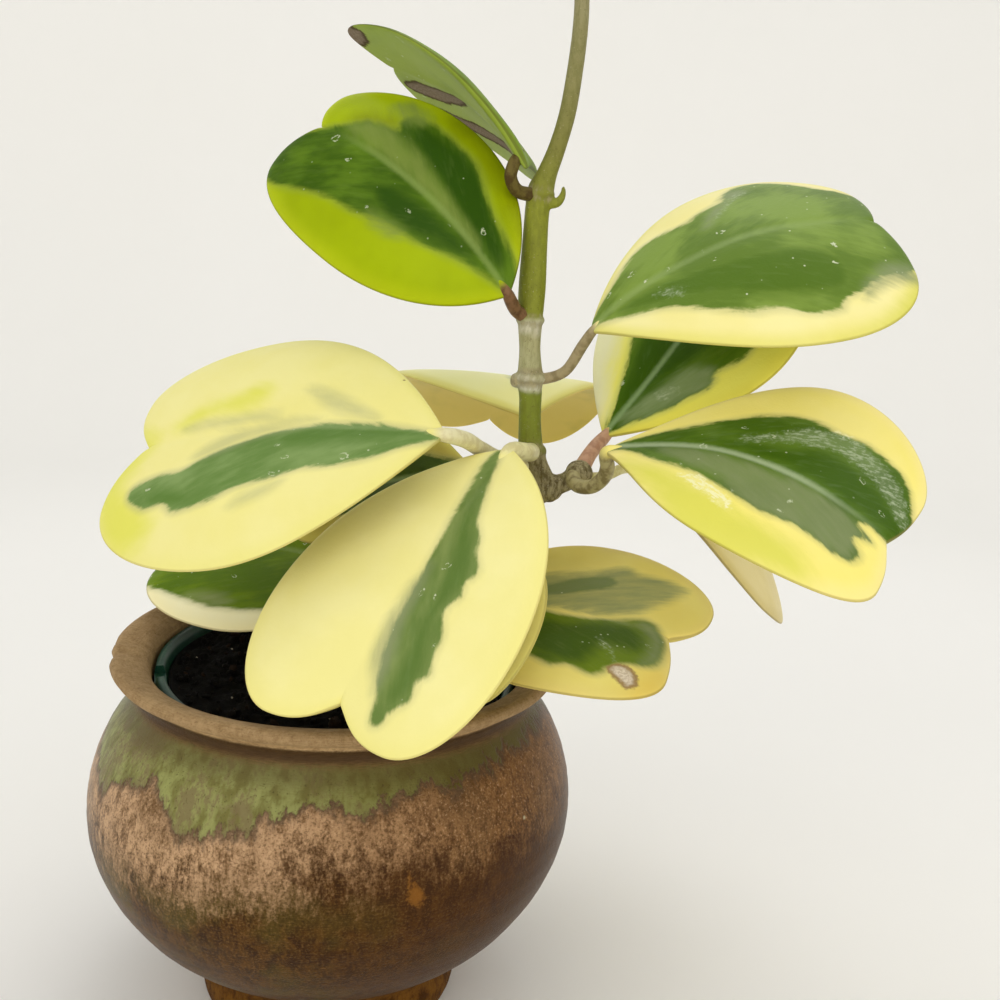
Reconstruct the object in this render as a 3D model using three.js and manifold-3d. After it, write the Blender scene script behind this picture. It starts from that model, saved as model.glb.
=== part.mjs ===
// Potted hoya: a heart-leaved vine in a plastic nursery pot that stands in a stoneware pot.
// Millimetres, +Z up. The origin is the middle of the flat foot, on the surface it stands on.
// The plant faces -Y. Every leaf is one blade with its own petiole.
import * as THREE from "three";
import { mergeVertices } from "three/addons/utils/BufferGeometryUtils.js";
import Module from "manifold-3d";

const wasm = await Module();
wasm.setup();

// Fit between neighbouring pieces
const GAP = 0.3;

// Stoneware pot
const FOOT_RADIUS = 38;
const BELLY_RADIUS = 70.4;
const NECK_RADIUS = 57.2;
const LIP_RADIUS = 64.2;
const LIP_HEIGHT = 104.2;
const LIP_RISE = 5;
const LIP_RISE_ANGLE = THREE.MathUtils.degToRad(130);
const POT_FLOOR = 15;
const POT_SIDES = 36;

// Nursery pot
const NURSERY_BOTTOM_RADIUS = 32;
const NURSERY_RIM_RADIUS = 52;
const NURSERY_RIM_HEIGHT = 96.8;
const NURSERY_WALL = 1.1;
const NURSERY_SIDES = 32;
const SLOT_ANGLE = THREE.MathUtils.degToRad(200);
const SLOT_WIDTH = 7;

// The nursery pot and its soil lean in the stoneware pot, highest at the back left
const LEAN_BACK = 5;
const LEAN_LEFT = 3;
const LEAN_PIVOT = 98;
const LEAN_RAISE = 3;

// Soil
const SOIL_HEIGHT = 93.5;
const SOIL_CROWN = 1.2;
const ROOT_X = 19;
const ROOT_Y = 15;
const ROOT_DEPTH = 66;
const ROOT_RADIUS = 4;

// Leaves
const LEAF_THICKNESS = 2.8;
const LEAF_STATIONS = [0, 0.06, 0.15, 0.26, 0.37, 0.48, 0.58, 0.68, 0.77, 0.85, 0.92, 0.97, 1];
const LEAF_COLUMNS = [0, 0.5, 0.86, 1];
const WIDEST_STATION = 0.5;
const LOBE_STATION = 0.8;
const FOLD_SOFTNESS = 3;
const BASE_TAPER = 0.1;
const NOTCH_TAPER = 0.06;
const PETIOLE_INSIDE = 7;
const PETIOLE_SIDES = 8;
const STEM_SIDES = 10;

// Stem, each point is x, y, z and the radius there
const OLD_WOOD = [
  [ROOT_X, ROOT_Y, ROOT_DEPTH, ROOT_RADIUS],
  [ROOT_X, ROOT_Y, 83, ROOT_RADIUS],
  [ROOT_X, ROOT_Y, 98, ROOT_RADIUS],
  [20.8, 14.5, 106, 3.9],
  [26, 13, 114, 3.9],
  [37, 10, 130, 3.7],
  [48, 4.5, 145, 3.7],
  [57, 0.3, 155.6, 3.6],
  [62.5, -0.5, 157.6, 2.8],
  [67, -0.5, 160.8, 3.1],
];
const YOUNG_SHOOT = [
  [58, 0.3, 155, 3.2],
  [57.2, 0, 157, 3.4],
  [55.3, 0, 161, 3.1],
  [52.8, 0, 166.6, 3.5],
  [51.9, 0, 174, 3.2],
  [51.6, 0, 181, 3.2],
  [51.2, 0, 186.8, 3.6],
  [50.6, 0, 195, 3],
  [50.2, 0, 202.9, 3.5],
  [50.2, 0, 212, 3.8],
  [50.2, 0, 224, 3.5],
  [50.4, 0, 234, 3.4],
  [51, 0, 238, 3.6],
  [52.4, 0, 242.4, 2.8],
  [54.6, 0, 249, 2.4],
  [56.8, 0, 258, 2.3],
  [58.1, 0, 269, 2.2],
  [58.8, 0, 280, 2.1],
  [58.6, 0.2, 289, 2],
  [57.2, 0.8, 299, 1.7],
  [54.2, 1.6, 308, 1.4],
  [49.5, 2.4, 315, 1.1],
];
const BRACT = [
  [52.5, -0.5, 234.5, 1.6],
  [55.6, -1, 234.8, 1.3],
  [57, -1, 237, 0.9],
  [57, -1, 239.4, 0.4],
];
const TIP_BUDS = [
  [[49.6, 2.4, 314.8, 1.1], [47, 1.2, 317, 1.7], [43.6, -0.2, 318.4, 1.5], [41, -1, 318.8, 0.5]],
  [[49.4, 2.4, 315, 1.1], [48.6, 4, 317.4, 1.6], [46.8, 5.6, 319.6, 1.3], [45, 6.4, 321, 0.4]],
];
const NODE_RINGS = [
  { at: [58.3, 0.2, 155.4], size: [4.2, 4, 3.8] },
  { at: [66.8, -0.4, 160.8], size: [3.9, 3.9, 3.7] },
  { at: [52.9, 0, 166.2], size: [4.3, 4.1, 3] },
  { at: [51.3, 0, 187], size: [4.7, 4.5, 2.3] },
  { at: [47.2, -0.6, 186], size: [1.7, 1.7, 2.1] },
  { at: [50.2, 0, 203], size: [4.1, 4.1, 2] },
  { at: [50.8, 0, 236.8], size: [4.1, 4.1, 2] },
  { at: [26, 13, 114], size: [4.6, 4.6, 3] },
  { at: [39.5, 8.6, 133.2], size: [4.4, 4.4, 3] },
];

// Leaf shapes: `base` is where the blade starts, `length` runs along the midrib to the notch,
// `wide` and `lobe` are the half width and the lobe beyond the notch, left side first.
// `petiole` leads from the base to the stem.
const LEAVES = {
  leaf_top: {
    base: [46.8, -8, 242.3], heading: 115, pitch: 41, roll: 44,
    length: 77.5, wide: [25.5, 38], lobe: [7, 7],
    fold: 5, cup: 4, arch: 35.5, twist: -9.5, widest: 0.59, shoulder: 36, sway: 0.8,
    joint: 6, petioleRadius: 1.7,
    petiole: [[43.2, -6.8, 243.4], [42.6, -6.6, 240.2], [44.6, -4, 237], [50.6, 0, 236.5]],
  },
  leaf_upper_left: {
    base: [44, -10.5, 209], heading: 172, pitch: 40, roll: -78,
    length: 78.5, wide: [31.5, 23], lobe: [7.5, 5],
    fold: -1.5, cup: 5.5, arch: 32, twist: -0.5, widest: 0.6, shoulder: 66, sway: 4.7,
    joint: 0, petioleRadius: 1.8,
    petiole: [[44.8, -7.6, 207.3], [46.5, -3.5, 205], [50.1, 0, 203.3]],
  },
  leaf_upper_right: {
    base: [66.6, -9.5, 200.5], heading: -18, pitch: 43, roll: 45.5,
    length: 82.5, wide: [38.5, 37.5], lobe: [3.5, 4],
    fold: -2.5, cup: 7.5, arch: 49, twist: 3, widest: 0.69, shoulder: 53.5, sway: -2.5,
    joint: 0, petioleRadius: 1.5,
    petiole: [[64.9, -7, 197.1], [60.6, -3, 189.4], [55.4, -0.5, 187], [51.3, 0, 186.8]],
  },
  leaf_right_inner: {
    base: [74.4, 13, 169.6], heading: 15, pitch: 59.5, roll: 28.5,
    length: 76.5, wide: [37.5, 34], lobe: [6.5, 3],
    fold: 3, cup: 4.5, arch: 15.5, twist: -5.5, widest: 0.59, shoulder: 56, sway: 3.3,
    joint: 0, petioleRadius: 2.1,
    petiole: [[72.3, 9, 168], [69.8, 4.5, 165.5], [67.5, 0.5, 162]],
  },
  leaf_right_lower: {
    base: [71.3, -20.7, 169.6], heading: -42, pitch: 5.5, roll: 29,
    length: 76.5, wide: [41.5, 37], lobe: [3, 3.7],
    fold: 3.5, cup: -0.5, arch: 33, twist: -9.5, widest: 0.69, shoulder: 41.5, sway: -8,
    joint: 0, petioleRadius: 2,
    petiole: [[73, -17.6, 165.4], [72.4, -14.3, 161.8], [69.8, -11, 158.8], [66.4, -7.6, 158.2],
      [65, -4, 159.4], [66.5, -0.5, 161]],
  },
  leaf_right_back: {
    base: [85.5, 10.2, 161], heading: 35, pitch: -13.5, roll: 44.5,
    length: 78, wide: [38, 37.5], lobe: [8, 8],
    fold: 6, cup: 2.5, arch: 28, twist: 8, widest: 0.61, shoulder: 51, sway: -0.5,
    joint: 0, petioleRadius: 1.5,
    petiole: [[80.2, 6.2, 161.8], [74, 2.4, 159.6], [67, 0.5, 159]],
  },
  leaf_left: {
    base: [30, -29.5, 173], heading: 176, pitch: 3, roll: -41,
    length: 86.5, wide: [40.5, 42.5], lobe: [9, 8.5],
    fold: 7, cup: 10.5, arch: 28, twist: 0.5, widest: 0.64, shoulder: 59, sway: -0.6,
    joint: 0, petioleRadius: 2.2,
    petiole: [[34.2, -23.2, 171.4], [38.6, -12.6, 167.6], [44.6, -4.2, 163.8], [53, 0.8, 162.6]],
  },
  leaf_front: {
    base: [47, -19.5, 169], heading: 233, pitch: -34.5, roll: 0.5,
    length: 82, wide: [38, 38], lobe: [7.5, 8],
    fold: 8, cup: 3.5, arch: 16, twist: -2.5, widest: 0.69, shoulder: 60, sway: 0,
    joint: 0, petioleRadius: 2.5,
    petiole: [[50.2, -14.2, 167.8], [52.2, -7, 166.6], [52.4, 0, 166]],
  },
  leaf_lower_right: {
    base: [18, -16, 121.5], heading: -21, pitch: 13.5, roll: 13.5,
    length: 76, wide: [37.5, 38.5], lobe: [9, 3],
    fold: 3, cup: 0.5, arch: 22.5, twist: 1.5, widest: 0.62, shoulder: 49.5, sway: -3.3,
    joint: 0, petioleRadius: 2,
    petiole: [[16.6, -12, 120], [19, -5, 116], [24, 5, 112], [25.4, 12.5, 112]],
  },
  leaf_lower_left: {
    base: [23.6, 6, 124], heading: 162, pitch: 8, roll: -26,
    length: 78, wide: [38, 38], lobe: [7.5, 8],
    fold: 5.5, cup: 3, arch: 13.5, twist: -1, widest: 0.61, shoulder: 50, sway: -0.6,
    joint: 0, petioleRadius: 2,
    petiole: [[25.4, 7.5, 122], [27, 10.5, 118], [26.6, 13, 115]],
  },
  leaf_inner_left: {
    base: [37, -3, 160.3], heading: 165, pitch: -11.5, roll: -37.5,
    length: 54.5, wide: [20, 27], lobe: [3, 5],
    fold: 7, cup: 2.5, arch: 15.5, twist: 2, widest: 0.59, shoulder: 50, sway: 0,
    joint: 0, petioleRadius: 1.7,
    petiole: [[41.5, -4, 159.8], [47, -3, 156.4], [51.8, 1.6, 151]],
  },
  leaf_back: {
    base: [52, 13.3, 174], heading: 106, pitch: 33, roll: -9,
    length: 78.5, wide: [39, 36], lobe: [8.5, 9],
    fold: 3.5, cup: 4, arch: 79.5, twist: 20, widest: 0.64, shoulder: 54, sway: 2,
    joint: 0, petioleRadius: 2,
    petiole: [[52, 9.5, 171.6], [52.2, 5, 169.6], [52.4, 0, 168.4]],
  },
  leaf_young_front: {
    base: [27, -27, 141.5], heading: 278.5, pitch: -23.5, roll: 33,
    length: 47, wide: [24, 22], lobe: [7.5, 3],
    fold: 6, cup: 3, arch: 13, twist: 2, widest: 0.59, shoulder: 50, sway: -5.2,
    joint: 0, petioleRadius: 1.7,
    petiole: [[27, -22.5, 141.6], [31, -10, 138], [37, 3, 134], [39.6, 8.6, 133.4]],
  },
};

const radians = THREE.MathUtils.degToRad;

// A geometry from plain vertex and triangle lists.
function geometryFrom(vertices, triangles) {
  const geometry = new THREE.BufferGeometry();
  geometry.setAttribute("position", new THREE.Float32BufferAttribute(vertices.flat(), 3));
  geometry.setIndex(triangles.flat());
  return geometry;
}

// A closed solid from a three.js geometry.
function solidOf(geometry) {
  const bare = geometry.clone();
  bare.deleteAttribute("normal");
  bare.deleteAttribute("uv");
  const merged = mergeVertices(bare, 1e-4);
  return new wasm.Manifold(new wasm.Mesh({
    numProp: 3,
    vertProperties: new Float32Array(merged.attributes.position.array),
    triVerts: new Uint32Array(merged.index.array),
  }));
}

// A body turned about Z from a profile of radius and height pairs, raised by rise(x, y, z).
function turned(profile, sides, rise = () => 0) {
  const lathe = new THREE.LatheGeometry(profile.map(([r, z]) => new THREE.Vector2(r, z)), sides);
  lathe.rotateX(Math.PI / 2);
  const at = lathe.attributes.position;
  for (let i = 0; i < at.count; i += 1) {
    at.setZ(i, at.getZ(i) + rise(at.getX(i), at.getY(i), at.getZ(i)));
  }
  return solidOf(lathe);
}

// A round limb swept through points of x, y, z and radius, closed at both ends.
function limb(points, sides, stepsPerPoint, extra = 0) {
  const path = new THREE.CatmullRomCurve3(points.map(([x, y, z]) => new THREE.Vector3(x, y, z)));
  const steps = (points.length - 1) * stepsPerPoint;
  const vertices = [];
  const triangles = [];
  let side = new THREE.Vector3(0.3, 1, 0.1);
  for (let i = 0; i <= steps; i += 1) {
    const along = i / steps;
    const centre = path.getPoint(along);
    const tangent = path.getTangent(along);
    side.addScaledVector(tangent, -side.dot(tangent)).normalize();
    const other = new THREE.Vector3().crossVectors(tangent, side);
    const place = along * (points.length - 1);
    const low = Math.min(Math.floor(place), points.length - 2);
    const radius = THREE.MathUtils.lerp(points[low][3], points[low + 1][3], place - low) + extra;
    for (let k = 0; k < sides; k += 1) {
      const angle = (2 * Math.PI * k) / sides;
      const spot = centre.clone()
        .addScaledVector(side, radius * Math.cos(angle))
        .addScaledVector(other, radius * Math.sin(angle));
      vertices.push(spot.toArray());
    }
  }
  for (let i = 0; i < steps; i += 1) {
    for (let k = 0; k < sides; k += 1) {
      const a = i * sides + k;
      const b = i * sides + ((k + 1) % sides);
      triangles.push([a, b, b + sides], [a, b + sides, a + sides]);
    }
  }
  const first = vertices.length;
  vertices.push(path.getPoint(0).toArray(), path.getPoint(1).toArray());
  for (let k = 0; k < sides; k += 1) {
    const next = (k + 1) % sides;
    triangles.push([first, next, k], [first + 1, steps * sides + k, steps * sides + next]);
  }
  return solidOf(geometryFrom(vertices, triangles));
}

// An ellipsoid for a node or a bud.
function knob(at, size, extra = 0) {
  const ball = new THREE.SphereGeometry(1, STEM_SIDES, 6);
  ball.scale(size[0] + extra, size[1] + extra, size[2] + extra);
  ball.translate(...at);
  return solidOf(ball);
}

// A point on a cubic curve in the plane.
function cubic(a, b, c, d, t) {
  const [start, leave, arrive, end] = [a, b, c, d].map(([x, y]) => new THREE.Vector2(x, y));
  return new THREE.CubicBezierCurve(start, leave, arrive, end).getPoint(t).toArray();
}

// The margin of one half of a leaf, from the base over the widest place and the lobe to the notch.
function margin(leaf, side, s) {
  const { length, widest, shoulder } = leaf;
  const wide = leaf.wide[side];
  const lobe = leaf.lobe[side];
  const swing = radians(shoulder);
  const wideAt = widest * length + 0.3 * lobe;
  const lobeX = 0.48 * wide;
  const lobeY = length + lobe;
  const reach = 0.42 * wideAt;
  if (s <= WIDEST_STATION) {
    return cubic([0, 0], [reach * Math.sin(swing), reach * Math.cos(swing)], [wide, 0.55 * wideAt],
      [wide, wideAt], s / WIDEST_STATION);
  }
  if (s <= LOBE_STATION) {
    return cubic([wide, wideAt], [wide, wideAt + 0.56 * (lobeY - wideAt)],
      [lobeX + 0.56 * (wide - lobeX), lobeY], [lobeX, lobeY],
      (s - WIDEST_STATION) / (LOBE_STATION - WIDEST_STATION));
  }
  return cubic([lobeX, lobeY], [0.45 * lobeX, lobeY], [0.12 * wide, length + 0.45 * lobe],
    [0, length], (s - LOBE_STATION) / (1 - LOBE_STATION));
}

// Where a flat leaf point lands once the leaf is folded, cupped, twisted, arched and aimed.
function shaped(leaf, x, y, lift) {
  const along = y / leaf.length;
  const wide = x < 0 ? leaf.wide[0] : leaf.wide[1];
  const folded = Math.tan(radians(leaf.fold)) * (Math.hypot(x, FOLD_SOFTNESS) - FOLD_SOFTNESS);
  let height = folded - leaf.cup * (x / wide) ** 2 + lift;
  let across = x + 4 * leaf.sway * along * (1 - along);
  const turn = radians(leaf.twist) * along;
  [across, height] = [
    across * Math.cos(turn) + height * Math.sin(turn),
    height * Math.cos(turn) - across * Math.sin(turn),
  ];
  const bend = radians(leaf.arch) / leaf.length;
  const forward = Math.sin(bend * y) / bend + height * Math.sin(bend * y);
  const up = height * Math.cos(bend * y) - (1 - Math.cos(bend * y)) / bend;
  const [h, p, r] = [radians(leaf.heading), radians(leaf.pitch), radians(leaf.roll)];
  const ahead = new THREE.Vector3(Math.cos(p) * Math.cos(h), Math.cos(p) * Math.sin(h), Math.sin(p));
  const flat = new THREE.Vector3(Math.sin(h), -Math.cos(h), 0);
  const normal = new THREE.Vector3().crossVectors(flat, ahead);
  const right = flat.clone().multiplyScalar(Math.cos(r)).addScaledVector(normal, -Math.sin(r));
  const top = flat.clone().multiplyScalar(Math.sin(r)).addScaledVector(normal, Math.cos(r));
  return new THREE.Vector3(...leaf.base)
    .addScaledVector(right, across)
    .addScaledVector(ahead, forward)
    .addScaledVector(top, up);
}

// How thick the blade is at a place, as a share of the full thickness, rounded off at the rim.
function fullness(s, t) {
  const base = Math.min(1, s / BASE_TAPER);
  const notch = Math.min(1, (1 - s) / NOTCH_TAPER);
  return Math.sqrt(1 - t ** 6) * Math.sqrt(1 - (1 - base) ** 2) * Math.sqrt(1 - (1 - notch) ** 2);
}

// The blade: an upper and a lower skin over the same grid, meeting along the margin.
function blade(leaf) {
  const vertices = [shaped(leaf, 0, 0, 0).toArray(), shaped(leaf, 0, leaf.length, 0).toArray()];
  const triangles = [];
  const rims = LEAF_COLUMNS.length - 1;
  const rows = [];
  for (const s of LEAF_STATIONS.slice(1, -1)) {
    const row = { upper: [], lower: [] };
    for (let c = -rims; c <= rims; c += 1) {
      const t = LEAF_COLUMNS[Math.abs(c)];
      const [ex, ey] = margin(leaf, c < 0 ? 0 : 1, s);
      const x = t * ex * Math.sign(c);
      const y = leaf.length * s + t * (ey - leaf.length * s);
      const lift = (LEAF_THICKNESS / 2) * fullness(s, t);
      row.upper.push(vertices.length);
      vertices.push(shaped(leaf, x, y, lift).toArray());
      if (t === 1) {
        row.lower.push(vertices.length - 1);
      } else {
        row.lower.push(vertices.length);
        vertices.push(shaped(leaf, x, y, -lift).toArray());
      }
    }
    rows.push(row);
  }
  const last = rows.length - 1;
  for (let c = 0; c < 2 * rims; c += 1) {
    triangles.push([0, rows[0].upper[c + 1], rows[0].upper[c]]);
    triangles.push([0, rows[0].lower[c], rows[0].lower[c + 1]]);
    triangles.push([1, rows[last].upper[c], rows[last].upper[c + 1]]);
    triangles.push([1, rows[last].lower[c + 1], rows[last].lower[c]]);
    for (let i = 0; i < last; i += 1) {
      const [a, b] = [rows[i].upper[c], rows[i].upper[c + 1]];
      const [d, e] = [rows[i + 1].upper[c], rows[i + 1].upper[c + 1]];
      triangles.push([a, b, e], [a, e, d]);
      const [f, g] = [rows[i].lower[c], rows[i].lower[c + 1]];
      const [j, k] = [rows[i + 1].lower[c], rows[i + 1].lower[c + 1]];
      triangles.push([f, k, g], [f, j, k]);
    }
  }
  return solidOf(geometryFrom(vertices, triangles));
}

// The whole leaf, its petiole trimmed back from the stem.
function leafSolid(leaf, stemWithGap) {
  const inner = shaped(leaf, 0, leaf.joint + PETIOLE_INSIDE, 0).toArray();
  const start = shaped(leaf, 0, leaf.joint + 1, 0).toArray();
  const path = [
    [...inner, 0.7],
    [...start, leaf.petioleRadius * 0.8],
    ...leaf.petiole.map((point) => [...point, leaf.petioleRadius]),
  ];
  return blade(leaf).add(limb(path, PETIOLE_SIDES, 2)).subtract(stemWithGap);
}

// The stem with all its nodes, grown by `extra` where it is used as a cutter.
function stemSolid(extra = 0) {
  let stem = limb(OLD_WOOD, STEM_SIDES, 2, extra);
  stem = stem.add(limb(YOUNG_SHOOT, STEM_SIDES, 1, extra));
  stem = stem.add(limb(BRACT, 6, 2, extra));
  for (const bud of TIP_BUDS) {
    stem = stem.add(limb(bud, 6, 2, extra));
  }
  for (const ring of NODE_RINGS) {
    stem = stem.add(knob(ring.at, ring.size, extra));
  }
  return stem;
}

// How far the hand-thrown lip rises above a level one: most at the back left.
function lipRise(x, y, z) {
  const facing = (1 + Math.cos(Math.atan2(y, x) - LIP_RISE_ANGLE)) / 2;
  return LIP_RISE * facing ** 3 * THREE.MathUtils.smoothstep(z, 90, 101);
}

// The pot: low wide foot, round belly, pinched neck, flared lip, hollow inside.
function stonewarePot() {
  return turned([
    [0, 0],
    [FOOT_RADIUS, 0],
    [FOOT_RADIUS + 0.6, 6],
    [FOOT_RADIUS, 12.5],
    [41.5, 17.2],
    [48.5, 22.4],
    [57, 30],
    [63, 38],
    [67.2, 46],
    [69.7, 54],
    [BELLY_RADIUS, 61],
    [69.9, 68.5],
    [67.9, 76.5],
    [64.6, 84],
    [60.6, 89.8],
    [57.9, 93.4],
    [NECK_RADIUS, 96],
    [59, 98.6],
    [62.8, 100.8],
    [LIP_RADIUS, 102.4],
    [63.4, 103.9],
    [61.2, LIP_HEIGHT],
    [56.4, 102.8],
    [53.8, 100.4],
    [53, 96],
    [54.2, 91.4],
    [61.4, 80],
    [65.2, 68],
    [65.4, 57],
    [62.4, 46],
    [56, 35],
    [45, 23.6],
    [33, POT_FLOOR],
    [0, POT_FLOOR],
  ], POT_SIDES, lipRise);
}

// Leans what stands upright in the stoneware pot.
function leaned(solid) {
  const upright = solid.translate([0, 0, -LEAN_PIVOT]);
  return upright.rotate([LEAN_BACK, LEAN_LEFT, 0]).translate([0, 0, LEAN_PIVOT + LEAN_RAISE]);
}

// The nursery pot: tapered wall, broad rolled rim with one slot for a hanger.
function nurseryPot() {
  const bottom = POT_FLOOR + GAP;
  const wall = NURSERY_WALL;
  const body = turned([
    [0, bottom],
    [NURSERY_BOTTOM_RADIUS - 1, bottom],
    [NURSERY_BOTTOM_RADIUS, bottom + 1],
    [47.7, 88.4],
    [51.4, 89],
    [NURSERY_RIM_RADIUS, 90],
    [52.2, 95.4],
    [51.5, NURSERY_RIM_HEIGHT - 0.3],
    [50.4, NURSERY_RIM_HEIGHT],
    [49.6, NURSERY_RIM_HEIGHT - 0.6],
    [49.2, 94.4],
    [47.9, 91],
    [46.7, 88.4],
    [NURSERY_BOTTOM_RADIUS - wall, bottom + 1 + wall],
    [0, bottom + wall + 0.4],
  ], NURSERY_SIDES);
  const slot = new THREE.BoxGeometry(6, SLOT_WIDTH, 3.4);
  slot.translate(NURSERY_RIM_RADIUS, 0, NURSERY_RIM_HEIGHT - 1);
  slot.rotateZ(SLOT_ANGLE);
  return leaned(body.subtract(solidOf(slot)));
}

// The soil: fills the nursery pot to just under its rim, with a plain hole for the stem.
function pottingSoil() {
  const bottom = POT_FLOOR + GAP + 1 + NURSERY_WALL + GAP;
  const body = turned([
    [0, bottom + 0.3],
    [NURSERY_BOTTOM_RADIUS - NURSERY_WALL - GAP - 0.3, bottom + 0.6],
    [46.2, 88],
    [47.3, 91],
    [48.2, SOIL_HEIGHT - 0.2],
    [30, SOIL_HEIGHT + SOIL_CROWN * 0.7],
    [0, SOIL_HEIGHT + SOIL_CROWN],
  ], NURSERY_SIDES);
  const hole = new THREE.CylinderGeometry(ROOT_RADIUS + GAP + 0.1, ROOT_RADIUS + GAP + 0.1, 40, 20);
  hole.rotateX(Math.PI / 2);
  hole.translate(ROOT_X, ROOT_Y, ROOT_DEPTH - GAP + 20);
  return leaned(body).subtract(solidOf(hole));
}

// A named mesh with its own material.
function piece(name, solid, look) {
  const mesh = solid.getMesh();
  const geometry = new THREE.BufferGeometry();
  geometry.setAttribute("position", new THREE.BufferAttribute(new Float32Array(mesh.vertProperties), 3));
  geometry.setIndex(new THREE.BufferAttribute(new Uint32Array(mesh.triVerts), 1));
  geometry.computeVertexNormals();
  const material = new THREE.MeshStandardMaterial(look);
  const result = new THREE.Mesh(geometry, material);
  result.name = name;
  return result;
}

const GREENS = {
  leaf_top: 0x7d9a48,
  leaf_upper_left: 0x9fb52c,
  leaf_upper_right: 0x5f8040,
  leaf_right_inner: 0x8f9a4c,
  leaf_right_lower: 0xc9cf5e,
  leaf_right_back: 0xd8cf9a,
  leaf_left: 0xe4db8c,
  leaf_front: 0xeee8a2,
  leaf_lower_right: 0xb0a552,
  leaf_lower_left: 0x4d6b22,
  leaf_inner_left: 0x6f6a2a,
  leaf_back: 0xcfc070,
  leaf_young_front: 0xdccf86,
};

const plant = new THREE.Group();
plant.name = "potted_hoya";
plant.add(piece("stoneware_pot", stonewarePot(), { color: 0x76663f, roughness: 0.45 }));
plant.add(piece("nursery_pot", nurseryPot(), { color: 0x2f6b58, roughness: 0.5 }));
plant.add(piece("potting_soil", pottingSoil(), { color: 0x14100c, roughness: 0.95 }));
plant.add(piece("main_stem", stemSolid(), { color: 0x7f8150, roughness: 0.7 }));
const stemWithGap = stemSolid(GAP);
for (const [name, leaf] of Object.entries(LEAVES)) {
  plant.add(piece(name, leafSolid(leaf, stemWithGap), { color: GREENS[name], roughness: 0.42 }));
}

export default plant;
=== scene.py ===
"""A potted hoya: heart-shaped variegated leaves on a woody vine, in a liner inside a stoneware pot."""

import logging
import math
from dataclasses import dataclass, field
from enum import Enum
from typing import Any

import bmesh
import bpy
import numpy as np
from mathutils import Matrix, Vector, noise


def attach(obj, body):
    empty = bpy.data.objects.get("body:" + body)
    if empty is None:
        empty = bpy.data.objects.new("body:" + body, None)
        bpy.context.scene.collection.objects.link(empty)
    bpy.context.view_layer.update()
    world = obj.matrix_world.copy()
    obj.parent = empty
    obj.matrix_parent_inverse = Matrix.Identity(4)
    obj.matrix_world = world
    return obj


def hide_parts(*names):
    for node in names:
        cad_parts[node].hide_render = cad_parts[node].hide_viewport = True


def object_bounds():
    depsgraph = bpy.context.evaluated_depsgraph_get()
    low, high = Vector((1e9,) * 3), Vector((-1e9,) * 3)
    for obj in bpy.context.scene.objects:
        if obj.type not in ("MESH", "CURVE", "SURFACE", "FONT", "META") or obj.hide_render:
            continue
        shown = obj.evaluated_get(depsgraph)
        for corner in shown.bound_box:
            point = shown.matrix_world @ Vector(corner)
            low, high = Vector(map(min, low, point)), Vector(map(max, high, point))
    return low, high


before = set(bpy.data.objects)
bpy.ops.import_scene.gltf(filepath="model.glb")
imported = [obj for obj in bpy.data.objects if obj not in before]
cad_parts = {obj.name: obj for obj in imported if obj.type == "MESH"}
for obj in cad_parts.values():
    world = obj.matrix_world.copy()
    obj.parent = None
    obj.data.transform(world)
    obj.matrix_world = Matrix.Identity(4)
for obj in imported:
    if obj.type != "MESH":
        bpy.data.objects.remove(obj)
cad_box = [list(corner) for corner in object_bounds()]

logging.basicConfig(level=logging.INFO, format="%(message)s")
log = logging.getLogger("hoya")

MM = 0.001
SEED = 11
MERGE = 1e-6
FAR_OUTSIDE = -30.0
FAR_INSIDE = 9.0
AT_RIM = 1e-5
ANY_TURN = 6.3

Colour = tuple[float, float, float, float]
Point = tuple[float, float, float]
Flat = tuple[float, float]
Verts = list[bmesh.types.BMVert]


def rgb(red: int, green: int, blue: int) -> Colour:
    """A linear colour from the red, green and blue of a paint chart, 0 to 255."""
    linear = [((c / 255 + 0.055) / 1.055) ** 2.4 if c > 10 else c / 255 / 12.92 for c in (red, green, blue)]
    return (linear[0], linear[1], linear[2], 1.0)


def smooth(values: np.ndarray, low: float, high: float) -> np.ndarray:
    """A soft step from 0 at low to 1 at high."""
    share = np.clip((values - low) / (high - low), 0, 1)
    return share * share * (3 - 2 * share)


class Value:
    """A number that varies over a surface. Python's operators add the Math nodes."""

    def __init__(self, finish: "Finish", socket: bpy.types.NodeSocket) -> None:
        """Keeps the finish that the number belongs to and the socket that gives it."""
        self.finish = finish
        self.socket = socket

    def math(self, operation: str, *terms: Any) -> "Value":
        """One Math node on these terms."""
        return self.finish.value("Math", {"operation": operation}, dict(enumerate(terms)))

    def __add__(self, other: Any) -> "Value":
        """The sum."""
        return self.math("ADD", self, other)

    def __sub__(self, other: Any) -> "Value":
        """The difference."""
        return self.math("SUBTRACT", self, other)

    def __rsub__(self, other: Any) -> "Value":
        """The difference, this one taken from the other."""
        return self.math("SUBTRACT", other, self)

    def __mul__(self, other: Any) -> "Value":
        """The product."""
        return self.math("MULTIPLY", self, other)

    def __truediv__(self, other: Any) -> "Value":
        """The quotient."""
        return self.math("DIVIDE", self, other)

    __radd__ = __add__
    __rmul__ = __mul__

    def size(self) -> "Value":
        """The number without its sign."""
        return self.math("ABSOLUTE", self)

    def least(self, other: Any) -> "Value":
        """The smaller of the two."""
        return self.math("MINIMUM", self, other)

    def most(self, other: Any) -> "Value":
        """The larger of the two."""
        return self.math("MAXIMUM", self, other)

    def step(self, low: float, high: float) -> "Value":
        """A soft step from 0 at low to 1 at high; low may be the larger."""
        return self.finish.value("MapRange", {"interpolation_type": "SMOOTHSTEP"}, {0: self, 1: low, 2: high})


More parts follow.
